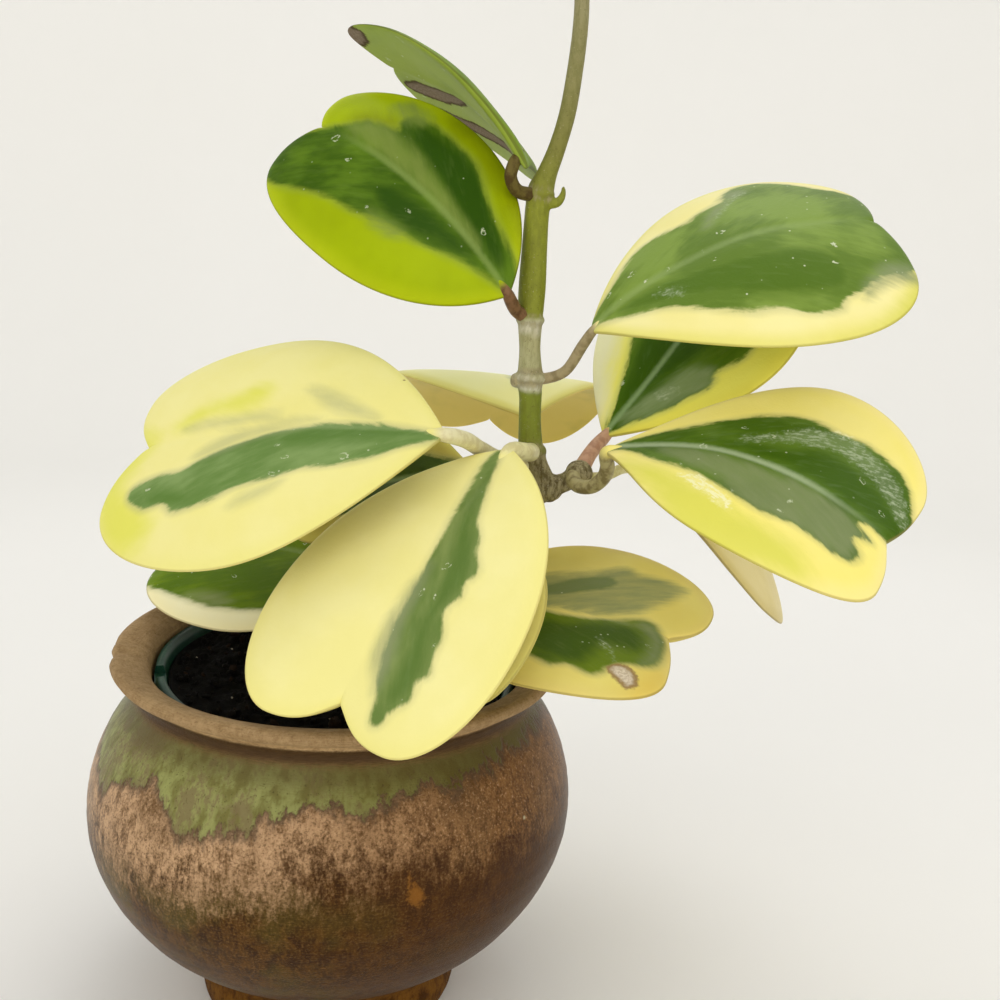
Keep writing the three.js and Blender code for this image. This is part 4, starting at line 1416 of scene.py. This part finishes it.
def leaf_upper_left() -> Leaf:
    """The lime leaf with a dark green middle."""
    return Leaf(
        "leaf_upper_left", "lime_leaf",
        LeafShape((44, -10.5, 209), 172, 40, -78, 78.5, (31.5, 23), (7.5, 5), -1.5, 5.5, 32, -0.5, 0.6, 66,
                  4.7),
        ((44.8, -7.6, 207.3), (46.5, -3.5, 205), (50.1, 0, 203.3)), 1.8,
        # This leaf's lime colour is darker than its pale one: a duller hue of its own together with painted
        # shade on the right half.
        LeafLook(pale=rgb(166, 186, 4), second=rgb(150, 168, 2), edge=rgb(190, 204, 24),
                 outline=rgb(110, 108, 24), lime=rgb(124, 136, 4), lime_strength=0.75,
                 green=rgb(92, 124, 26), deep=rgb(38, 72, 0), smoke=rgb(128, 146, 66),
                 rib=rgb(142, 164, 88), under=rgb(150, 166, 60), petiole=rgb(132, 100, 72),
                 petiole_shade=rgb(92, 66, 46), jag=2.4, softness=1.2, rib_width=0.7, rib_strength=0.5,
                 halo=0.5),
        tones(Tone.GREEN, ((1, -1), (-3, 10), (-8.5, 23), (-11.5, 31.5), (-13.5, 39.5), (-16, 50),
                           (-17, 61), (-19, 70), (-20.5, 78.5), (-18.5, 86), (-9.5, 88), (-5, 83),
                           (-1, 77.5), (2, 73), (4.5, 69.5), (7, 66), (8, 61), (9, 56), (12, 58),
                           (15.5, 57.5), (16.5, 50), (16, 41.5), (15.5, 33), (12.5, 26), (9.5, 18.5),
                           (8, 13), (6.5, 6), (4, 0)))
        + tones(Tone.DEEP, ((-8, 50), (-3.5, 44), (-2, 28), (-2, 12), (-8.5, 26), (-12, 40)),
                ((9, 52), (14.5, 54), (16, 41), (15, 32), (11, 20), (6, 8), (1, 8), (1.5, 22), (4, 34),
                 (6, 44)))
        + tones(Tone.SMOKE, ((2.5, 70), (4.5, 69.5), (8, 62), (7.5, 51.5), (6.5, 44), (4.5, 36), (2.8, 27),
                             (1, 15), (0.5, 31), (0.8, 51.5), (1, 62)),
                ((15, 65.5), (18.5, 63.5), (19, 57.5), (17, 52.5), (14, 54), (13, 58)),
                ((-14, 46), (-12.5, 41), (-11.5, 33), (-14.5, 34.5), (-16, 41)))
        # painted shade: the lime patches lay the darker olive lime on the right half by the stem and the
        # right lobe, partly the leaf's own duller hue and partly painted shade
        + tones(Tone.LIME, ((22, 12), (12, 6), (16, 24), (19, 36), (19, 50), (28, 46), (28, 28)),
                ((6, 71), (10, 68), (11, 61), (8, 60), (5, 64))))


def leaf_upper_right() -> Leaf:
    """The wide green leaf at the upper right, with cream along its lower margin."""
    return Leaf(
        "leaf_upper_right", "green_leaf",
        LeafShape((66.6, -9.5, 200.5), -18, 43, 45.5, 82.5, (38.5, 37.5), (3.5, 4), -2.5, 7.5, 49, 3, 0.69,
                  53.5, -2.5),
        ((64.9, -7, 197.1), (60.6, -3, 189.4), (55.4, -0.5, 187), (51.3, 0, 186.8)), 1.5,
        LeafLook(pale=rgb(250, 242, 172), second=rgb(246, 236, 152), edge=rgb(232, 226, 104),
                 lime=rgb(204, 208, 50), outline=rgb(168, 156, 70), green=rgb(130, 156, 68),
                 deep=rgb(82, 112, 32), smoke=rgb(142, 154, 112), rib=rgb(158, 178, 116),
                 petiole=rgb(168, 154, 118), petiole_shade=rgb(136, 122, 88), rib_strength=0.36,
                 rib_width=1.0, halo=0.4, water=1.5),
        tones(Tone.GREEN, ((0, -2), (-2, 2), (-6.5, 9.5), (-13, 17), (-17, 23), (-17.5, 30), (-17, 37),
                           (-20.5, 43.5), (-23, 49), (-30, 53.5), (-33.5, 59), (-32, 64.5), (-28, 70),
                           (-21, 76), (-18, 82), (-12, 90), (0, 94), (14, 90), (19.5, 84), (20.5, 79.5),
                           (23, 72.5), (26, 67.5), (27, 63.5), (30, 61), (29.5, 54), (26, 46), (24.5, 39.5),
                           (20.5, 32.5), (17, 28), (10, 18), (4, 8), (0.5, 2.5)))
        + tones(Tone.DEEP, ((3, 10), (14, 28), (24, 50), (24, 66), (12, 64), (5, 36)))
        + tones(Tone.SMOKE, ((-29, 53), (-21, 47), (-11, 40), (-11, 42), (-20, 49), (-27, 58)),
                ((22, 86), (24, 76), (28, 68), (20, 74), (17, 84)))
        + tones(Tone.LIME, ((44, 50), (39, 66), (30, 80), (20, 94), (40, 96), (54, 60)))
        + tones(Tone.SILVER, ((-28, 58), (-25.5, 53), (-19, 48), (-12, 43), (-12, 45), (-18, 50.5),
                              (-24, 56)),
                ((5, 19), (5.5, 23.5), (9, 27), (11, 25.5), (9, 21))))


def leaf_right_inner() -> Leaf:
    """The leaf half hidden behind the upper right one."""
    return Leaf(
        "leaf_right_inner", "green_yellow_leaf",
        LeafShape((74.4, 13, 169.6), 15, 59.5, 28.5, 76.5, (37.5, 34), (6.5, 3), 3, 4.5, 15.5, -5.5, 0.59,
                  56, 3.3),
        ((72.3, 9, 168), (69.8, 4.5, 165.5), (67.5, 0.5, 162)), 2.1,
        LeafLook(pale=rgb(255, 250, 116), second=rgb(252, 246, 98), edge=rgb(250, 240, 96),
                 lime=rgb(255, 252, 206), lime_strength=1.0, green=rgb(96, 128, 32), deep=rgb(56, 90, 4),
                 smoke=rgb(148, 166, 118), rib=rgb(156, 184, 130), petiole=rgb(206, 164, 136),
                 petiole_shade=rgb(178, 132, 108), rib_strength=0.7, rib_width=0.8),
        tones(Tone.GREEN, ((0, -2), (-0.5, 1.5), (-4, 10.5), (-9.5, 21), (-15.5, 31), (-24, 48), (-24, 62),
                           (-12, 72), (6, 72), (20, 64), (25, 52), (23.5, 43.5), (23, 38.5), (20.5, 34.5),
                           (18.5, 31), (19.5, 26.5), (17.5, 23), (15.5, 20), (13.5, 16.5), (7, 9), (1, 2)))
        + tones(Tone.DEEP, ((-1.5, 8), (-12, 30), (-18, 52), (0, 62), (14, 50), (9, 32), (4, 22), (1, 14)))
        + tones(Tone.SMOKE, ((1, 6.5), (3.5, 13), (5, 19), (7.5, 24.5), (11, 30), (17.5, 31.5),
                             (19.5, 26.5), (16, 21.5), (13, 17), (6.5, 9.5)))
        + tones(Tone.LIME, ((-6, 4), (-14, 18), (-24, 34), (-34, 30), (-22, 8)))
        + tones(Tone.SILVER, ((6, 18), (8.5, 22.5), (12, 23), (11.5, 19), (9, 17))))


def leaf_right_lower() -> Leaf:
    """The leaf at the lower right, with a pale midrib and a silvery band."""
    return Leaf(
        "leaf_right_lower", "green_yellow_leaf",
        LeafShape((71.3, -20.7, 169.6), -42, 5.5, 29, 76.5, (41.5, 37), (3, 3.7), 3.5, -0.5, 33, -9.5, 0.69,
                  41.5, -8),
        ((73, -17.6, 165.4), (72.4, -14.3, 161.8), (69.8, -11, 158.8), (66.4, -7.6, 158.2), (65, -4, 159.4),
         (66.5, -0.5, 161)), 2.0,
        LeafLook(pale=rgb(255, 242, 144), second=rgb(252, 238, 124), edge=rgb(255, 240, 160),
                 lime=rgb(222, 220, 84), green=rgb(96, 126, 36), deep=rgb(60, 92, 2),
                 smoke=rgb(136, 148, 100), rib=rgb(178, 194, 154), petiole=rgb(186, 176, 128),
                 petiole_shade=rgb(130, 116, 78), rib_strength=0.75, rib_width=0.85, veil=0.8),
        tones(Tone.GREEN, ((0, -1), (-2, 6), (-9, 21), (-14.5, 29), (-19.5, 36), (-22.5, 44.5),
                           (-22.5, 53.5), (-24.5, 60), (-24, 66), (-22.5, 72), (-18, 76), (-12, 79),
                           (-3.5, 82), (0.5, 79), (0.8, 74), (0.5, 71.5), (3, 69), (5.5, 73.5), (7.5, 71),
                           (10, 69.5), (12.5, 73), (16.5, 72.5), (18.5, 69.5), (18.3, 63), (18, 57),
                           (19.3, 50), (16.5, 41), (13.5, 32.5), (11.5, 27), (8.5, 18.5), (4, 11.5),
                           (2, 6)))
        + tones(Tone.DEEP, ((-3, 16), (-5, 30), (-8, 43), (-13, 53), (-13.5, 64), (-8, 78), (-2, 80),
                            (-1.5, 50)),
                ((-10, 24), (-14, 36), (-20, 44), (-22, 52), (-17, 43), (-12, 36)))
        + tones(Tone.SMOKE, ((2, 17), (3, 31), (3, 45), (2, 55.5), (3, 66), (5.5, 73.5), (8.5, 71),
                             (16, 72), (18.5, 68), (18, 57.5), (19.5, 50.5), (17, 44), (12, 35), (9, 26)))
        + tones(Tone.LIME, ((8, 6), (24, 24), (40, 44), (34, 66), (26, 60), (24, 44), (14, 26)))
        + tones(Tone.SILVER, ((-9.5, 35), (-14, 40.5), (-19.5, 45.5), (-23, 52.5), (-24, 59.5), (-22.5, 67),
                              (-18.5, 73.5), (-12, 77.5), (-6.5, 78), (-10, 72), (-14, 65), (-15, 57),
                              (-12.5, 49), (-10, 43), (-5, 32)),
                ((15.5, 27), (13.8, 29.5), (14, 32.5), (16.5, 37), (19.5, 42.5), (24.5, 45), (24.5, 42),
                 (22, 38), (19.5, 33.5))))


def leaf_right_back() -> Leaf:
    """The pale leaf that hangs behind the lower right one."""
    return Leaf(
        "leaf_right_back", "cream_leaf",
        LeafShape((85.5, 10.2, 161), 35, -13.5, 44.5, 78, (38, 37.5), (8, 8), 6, 2.5, 28, 8, 0.61, 51,
                  -0.5),
        ((80.2, 6.2, 161.8), (74, 2.4, 159.6), (67, 0.5, 159)), 1.5,
        LeafLook(pale=rgb(226, 210, 144), second=rgb(214, 196, 122), edge=rgb(206, 188, 116),
                 outline=rgb(112, 94, 60), under=rgb(198, 182, 118)),
        tones(Tone.GREEN, ((0, 4), (-6, 20), (-16, 38), (-12, 60), (-2, 52), (1, 24)))
        + tones(Tone.SMOKE, ((1, 24), (8, 40), (6, 58), (-2, 50))))


def leaf_left() -> Leaf:
    """The wide pale leaf at the left, with a long green flame below its midrib."""
    return Leaf(
        "leaf_left", "cream_leaf",
        LeafShape((30, -29.5, 173), 176, 3, -41, 86.5, (40.5, 42.5), (9, 8.5), 7, 10.5, 28, 0.5, 0.64, 59,
                  -0.6),
        ((34.2, -23.2, 171.4), (38.6, -12.6, 167.6), (44.6, -4.2, 163.8), (53, 0.8, 162.6)), 2.2,
        LeafLook(pale=rgb(242, 235, 158), second=rgb(238, 230, 140), edge=rgb(238, 232, 138),
                 lime=rgb(224, 224, 84), lime_strength=0.8, outline=rgb(190, 172, 104),
                 green=rgb(130, 156, 92), deep=rgb(90, 124, 52), smoke=rgb(168, 172, 130),
                 rib=rgb(166, 184, 132), petiole=rgb(232, 226, 184), petiole_shade=rgb(214, 204, 158),
                 rib_strength=0.25, jag=3.2, halo=0.55, veil=0.55, drift=1.6),
        tones(Tone.GREEN, ((-1.5, 1), (0, 12), (1, 21.5), (0.5, 31), (-0.5, 39), (-1.5, 45.5), (-4.5, 53.5),
                           (-7, 60), (-10, 65), (-12.5, 69), (-13, 77), (-15.5, 84), (-19, 84.5),
                           (-23, 78.5), (-22, 72), (-25, 68), (-23, 58), (-19.5, 51), (-17, 41),
                           (-14.5, 35), (-13.5, 27.5), (-10.5, 17.5), (-6.5, 10.5), (-4, 3.5)))
        + tones(Tone.DEEP, ((-2, 2), (0.5, 12), (1, 24), (-0.5, 36), (-4, 44), (-8, 40), (-6, 26),
                            (-4, 10)),
                ((-17, 74), (-20, 62), (-18, 50), (-13, 38), (-16, 40), (-21, 54), (-24, 68), (-21, 80)))
        + tones(Tone.SMOKE, ((3.5, 74.5), (5, 68.5), (5.5, 59.5), (6.5, 49), (5, 45.5), (3, 56), (2.6, 65),
                             (2.3, 72)),
                ((14.5, 40), (13, 33), (7.5, 24), (3, 18), (3, 24), (7, 33)),
                ((-25.5, 51.5), (-22, 49), (-19.5, 43.5), (-17.5, 38), (-21.5, 41.5), (-24, 46.5)),
                ((-8, 67.5), (-1.5, 60.5), (1.5, 52.5), (3, 44), (2, 34), (-0.5, 40), (-3, 51), (-8, 61)))
        + tones(Tone.LIME, ((13, 62), (17, 55.5), (14.5, 51), (9, 56), (8, 68), (4, 74), (6, 77), (10, 70)),
                ((6, 94), (2, 84), (-6, 86), (-16, 88), (-28, 74), (-34, 84), (-18, 98))))


def leaf_front() -> Leaf:
    """The large cream leaf in front, with a jagged green flame on one side."""
    return Leaf(
        "leaf_front", "cream_leaf",
        LeafShape((47, -19.5, 169), 233, -34.5, 0.5, 82, (38, 38), (7.5, 8), 8, 3.5, 16, -2.5, 0.69, 60, 0),
        ((50.2, -14.2, 167.8), (52.2, -7, 166.6), (52.4, 0, 166)), 2.5,
        LeafLook(pale=rgb(249, 242, 168), second=rgb(244, 236, 150), edge=rgb(242, 234, 140),
                 lime=rgb(232, 230, 110), outline=rgb(200, 184, 108), green=rgb(132, 150, 84),
                 deep=rgb(92, 120, 52), smoke=rgb(148, 156, 116), rib=rgb(150, 172, 116),
                 petiole=rgb(230, 224, 172), petiole_shade=rgb(208, 198, 144), rib_strength=0.0, jag=2.6,
                 softness=0.8, halo=0.3, water=1.4, veil=0.7, drift=2.0),
        tones(Tone.GREEN, ((2.5, 2), (3, 8), (2, 16), (1, 23.5), (0, 31), (-1, 38), (-1.5, 44.5),
                           (-2.5, 50), (-3, 56), (-3.5, 62.5), (-5, 68), (-7, 73), (-10, 79), (-11.5, 83),
                           (-13, 84), (-15, 82.5), (-15.5, 80), (-18, 77.5), (-19, 75), (-18, 71.5),
                           (-20.5, 69.5), (-19, 66), (-18.5, 60), (-16, 56.5), (-15, 53), (-17.5, 49.5),
                           (-16, 46), (-18, 42.5), (-14, 37), (-12, 32.5), (-8.5, 28.5), (-6.5, 23),
                           (-4, 17.5), (-2, 12), (0, 5)))
        + tones(Tone.DEEP, ((1, 6), (-7, 26), (-14, 38), (-17, 46), (-14, 55), (-18, 66), (-18, 75),
                            (-13, 80), (-11, 68), (-10, 58), (-9, 46), (-5, 34), (-1, 20)))
        + tones(Tone.SMOKE, ((-2.5, 42), (-0.5, 49.5), (-0.8, 63), (-2, 69), (-5.5, 73.5), (-9, 78),
                             (-8, 68), (-5.5, 60), (-4.5, 50))))


def leaf_lower_right() -> Leaf:
    """The shaded leaf low at the right, with two green blotches and a pale scar."""
    return Leaf(
        "leaf_lower_right", "green_yellow_leaf",
        LeafShape((18, -16, 121.5), -21, 13.5, 13.5, 76, (37.5, 38.5), (9, 3), 3, 0.5, 22.5, 1.5, 0.62,
                  49.5, -3.3),
        ((16.6, -12, 120), (19, -5, 116), (24, 5, 112), (25.4, 12.5, 112)), 2.0,
        LeafLook(pale=rgb(244, 230, 132), second=rgb(238, 220, 112), edge=rgb(234, 214, 124),
                 lime=rgb(240, 206, 90), lime_strength=0.6, outline=rgb(122, 100, 52),
                 green=rgb(106, 130, 18), deep=rgb(62, 90, 0), smoke=rgb(136, 148, 102),
                 rib=rgb(184, 188, 128), petiole=rgb(196, 186, 120), scar=rgb(236, 224, 208),
                 scar_rim=rgb(160, 130, 88), rib_strength=0.5, rib_width=1.2, jag=2.4, softness=1.1,
                 halo=0.5),
        tones(Tone.GREEN, ((-7, 20), (-10, 39.5), (-15.5, 46.5), (-20, 55.5), (-15, 57.5), (-8, 48.5),
                           (-5, 40.5), (-2, 22)),
              ((1, 6), (2, 24), (3, 41), (4.5, 47.5), (3.5, 55.5), (-1.5, 65), (-3, 70), (-0.5, 73),
               (4, 75.5), (10, 76), (15.5, 75), (17.5, 72.5), (18.5, 69), (22, 65), (26, 64), (28, 61),
               (26.5, 55.5), (28.5, 52), (27, 49), (25, 43.5), (21, 34), (14, 18), (6, 6)))
        + tones(Tone.DEEP, ((8.5, 40), (8, 50.5), (5, 57.5), (2, 66), (7, 71), (12.5, 70), (13, 65),
                            (14, 61.5), (20, 60), (25, 57), (23.5, 47), (20, 38)))
        + tones(Tone.SMOKE, ((-12.5, 34), (-18.5, 46), (-22.5, 54), (-26.5, 58.5), (-24.5, 63), (-25, 69.5),
                             (-24, 76), (-18.5, 74.5), (-11.5, 70.5), (-4, 64), (-0.5, 56), (0.5, 48),
                             (-1, 36)),
                ((-2, 68), (-0.5, 73), (6, 75.5), (14, 75.5), (17.5, 72), (8.5, 72.5), (1.5, 70)))
        + tones(Tone.LIME, ((20, 73), (17.5, 77), (23, 79), (28.5, 75), (29, 73)))
        + tones(Tone.SILVER, ((12, 59.5), (12.5, 62.5), (16, 65.5), (19, 67.5), (20.5, 65.5), (17.5, 63.5)))
        + tones(Tone.SCAR, ((22.5, 65), (19.5, 67), (20, 70), (21.5, 72), (25.5, 73), (28.5, 71.5),
                            (28, 69.5), (26, 67))))


def leaf_lower_left() -> Leaf:
    """The dark green leaf under the left one, cream along its outer margin."""
    return Leaf(
        "leaf_lower_left", "green_leaf",
        LeafShape((23.6, 6, 124), 162, 8, -26, 78, (38, 38), (7.5, 8), 5.5, 3, 13.5, -1, 0.61, 50, -0.6),
        ((25.4, 7.5, 122), (27, 10.5, 118), (26.6, 13, 115)), 2.0,
        LeafLook(pale=rgb(255, 252, 214), second=rgb(254, 246, 200), edge=rgb(250, 240, 182),
                 green=rgb(112, 140, 6), deep=rgb(70, 102, 0), smoke=rgb(140, 152, 96),
                 petiole=rgb(190, 180, 116), rib_strength=0.35, jag=2.6, softness=0.9),
        tones(Tone.GREEN, ((0, -2), (-12, 10), (-24, 28), (-28.5, 42), (-30.5, 53), (-29, 65), (-27, 74.5),
                           (-22, 92), (0, 82), (16, 76), (22, 60), (24, 40), (14, 16)))
        + tones(Tone.SMOKE, ((-29, 50), (-30, 56), (-28, 66), (-25, 60), (-26, 50))))


def leaf_inner_left() -> Leaf:
    """The small shaded leaf between the left, front and lower left ones."""
    return Leaf(
        "leaf_inner_left", "green_yellow_leaf",
        LeafShape((37, -3, 160.3), 165, -11.5, -37.5, 54.5, (20, 27), (3, 5), 7, 2.5, 15.5, 2, 0.59, 50, 0),
        ((41.5, -4, 159.8), (47, -3, 156.4), (51.8, 1.6, 151)), 1.7,
        # painted shade: this cream leaf's colours are darkened to olive and deep green to stand for the shade
        # it lies in
        LeafLook(pale=rgb(206, 190, 92), second=rgb(188, 172, 74), green=rgb(82, 104, 34),
                 deep=rgb(56, 76, 16), under=rgb(190, 168, 78)),
        tones(Tone.GREEN, ((0, 0), (-8, 16), (-11, 34), (-8, 44), (2, 38), (12, 46), (14, 30), (6, 12))))


def leaf_back() -> Leaf:
    """The pale leaf behind the stem, curled over so that its ochre underside shows."""
    return Leaf(
        "leaf_back", "cream_leaf",
        LeafShape((52, 13.3, 174), 106, 33, -9, 78.5, (39, 36), (8.5, 9), 3.5, 4, 79.5, 20, 0.64, 54, 2),
        ((52, 9.5, 171.6), (52.2, 5, 169.6), (52.4, 0, 168.4)), 2.0,
        LeafLook(pale=rgb(255, 252, 184), second=rgb(254, 248, 166), green=rgb(104, 136, 62),
                 deep=rgb(74, 110, 40), under=rgb(238, 212, 98), outline=rgb(224, 208, 118),
                 smoke=rgb(158, 168, 134)),
        tones(Tone.GREEN, ((2, 22), (8, 30), (14, 46), (16, 60), (10, 72), (4, 56), (1, 36)))
        + tones(Tone.SMOKE, ((0, 14), (6, 26), (4, 44), (-2, 30))), groove=0.2, ripple=0.05)


def leaf_young_front() -> Leaf:
    """The small young leaf low behind the front one."""
    return Leaf(
        "leaf_young_front", "cream_leaf",
        LeafShape((27, -27, 141.5), 278.5, -23.5, 33, 47, (24, 22), (7.5, 3), 6, 3, 13, 2, 0.59, 50, -5.2),
        ((27, -22.5, 141.6), (31, -10, 138), (37, 3, 134), (39.6, 8.6, 133.4)), 1.7,
        LeafLook(pale=rgb(238, 228, 150), second=rgb(228, 216, 130), petiole=rgb(204, 196, 136)),
        tones(Tone.GREEN, ((0, 4), (-5, 14), (-6, 28), (-2, 34), (1, 20))))


@dataclass(frozen=True)
class Lamp:
    """A soft square lamp, its places and size in metres and its power in watts."""

    name: str
    at: Point
    aim: Point
    size: float
    watts: float
    tint: Colour

    def build(self) -> None:
        """Hangs the lamp and aims it."""
        data = bpy.data.lights.new(self.name, "AREA")
        data.shape = "SQUARE"
        data.size = self.size
        data.energy = self.watts
        data.color = self.tint[:3]
        lamp = bpy.data.objects.new(self.name, data)
        bpy.context.scene.collection.objects.link(lamp)
        lamp.location = self.at
        lamp.rotation_euler = (Vector(self.aim) - Vector(self.at)).to_track_quat("-Z", "Y").to_euler()


PLANT = (0.04, 0.0, 0.15)
LAMPS = (
    Lamp("window", (-0.5, -1.0, 0.62), PLANT, 0.9, 3.5, rgb(255, 251, 243)),
    Lamp("top", (0.25, 0.3, 1.2), PLANT, 0.9, 2.0, rgb(255, 253, 250)),
    Lamp("fill", (0.75, -0.9, 0.3), PLANT, 0.8, 2.3, rgb(255, 246, 236)),
    Lamp("wall", (0.0, 0.35, 1.25), (0.0, 1.5, 0.25), 0.9, 2.6, rgb(255, 255, 255)),
)


@dataclass
class Studio:
    """The camera, the soft light and the plain pale floor. Its camera's place is in millimetres."""

    camera_at: Point = (44.7, -297, 206)
    pitch: float = 10.4
    roll: float = 3.3
    lens: float = 37.8
    sensor: float = 36.0
    floor_radius: float = 1.5
    wall_height: float = 1.4
    cove: float = 0.5
    cove_steps: int = 12
    cove_faces: int = 96
    sky: float = 0.66
    lamps: tuple[Lamp, ...] = LAMPS

    def _camera(self) -> None:
        """Places the camera where the photograph was taken."""
        data = bpy.data.cameras.new("camera")
        data.sensor_width = self.sensor
        data.lens = self.lens
        data.clip_start = 0.01
        camera = bpy.data.objects.new("camera", data)
        bpy.context.scene.collection.objects.link(camera)
        p, r = math.radians(self.pitch), math.radians(self.roll)
        ahead = Vector((0, math.cos(p), -math.sin(p)))
        level, over = Vector((1, 0, 0)), Vector((0, math.sin(p), math.cos(p)))
        right = math.cos(r) * level + math.sin(r) * over
        up = math.cos(r) * over - math.sin(r) * level
        turn = Matrix((right, up, -ahead)).transposed().to_4x4()
        camera.matrix_world = Matrix.Translation(Vector(self.camera_at) * MM) @ turn
        bpy.context.scene.camera = camera

    def _cove(self) -> None:
        """A round pale floor that curves up into a wall all round."""
        mesh = bmesh.new()
        line = [(0.0, 0.0), (self.floor_radius - self.cove, 0.0)]
        for step in range(1, self.cove_steps + 1):
            bend = math.pi / 2 * step / self.cove_steps
            line.append((self.floor_radius - self.cove + self.cove * math.sin(bend),
                         self.cove * (1 - math.cos(bend))))
        line.append((self.floor_radius, self.wall_height))
        verts = [mesh.verts.new((out, 0, high)) for out, high in line]
        edges = [mesh.edges.new(pair) for pair in zip(verts, verts[1:])]
        bmesh.ops.spin(mesh, geom=[*verts, *edges], cent=(0, 0, 0), axis=(0, 0, 1), angle=2 * math.pi,
                       steps=self.cove_faces, use_merge=True)
        bmesh.ops.remove_doubles(mesh, verts=mesh.verts, dist=1e-5)
        bmesh.ops.recalc_face_normals(mesh, faces=mesh.faces)
        for face in mesh.faces:
            face.smooth = True
        data = bpy.data.meshes.new("floor")
        mesh.to_mesh(data)
        mesh.free()
        floor = bpy.data.objects.new("floor", data)
        bpy.context.scene.collection.objects.link(floor)
        made = Finish("floor_paint")
        where = made.node("TexCoord").outputs["Object"]
        tint = made.noise(where, 3, 2)
        data.materials.append(made.dress(made.mix(tint, rgb(247, 246, 243), rgb(244, 243, 239)), 0.75))

    def build(self) -> None:
        """Sets up the studio."""
        self._camera()
        self._cove()
        for lamp in self.lamps:
            lamp.build()
        world = bpy.data.worlds.new("sky")
        world.use_nodes = True
        background = world.node_tree.nodes["Background"]
        background.inputs["Color"].default_value = (1.0, 1.0, 1.0, 1.0)
        background.inputs["Strength"].default_value = self.sky
        bpy.context.scene.world = world
        view = bpy.context.scene.view_settings
        view.view_transform = "Standard"
        view.look = "None"


LEAVES = (leaf_top, leaf_upper_left, leaf_upper_right, leaf_right_inner, leaf_right_lower,
          leaf_right_back, leaf_left, leaf_front, leaf_lower_right, leaf_lower_left, leaf_inner_left,
          leaf_back, leaf_young_front)


def main() -> None:
    """Builds the studio and every piece."""
    Studio().build()
    StonewarePot().build()
    NurseryPot().build()
    Soil().build()
    Stem().build()
    for seed, leaf in enumerate(LEAVES):
        leaf().build(seed)


if __name__ == "__main__":
    main()
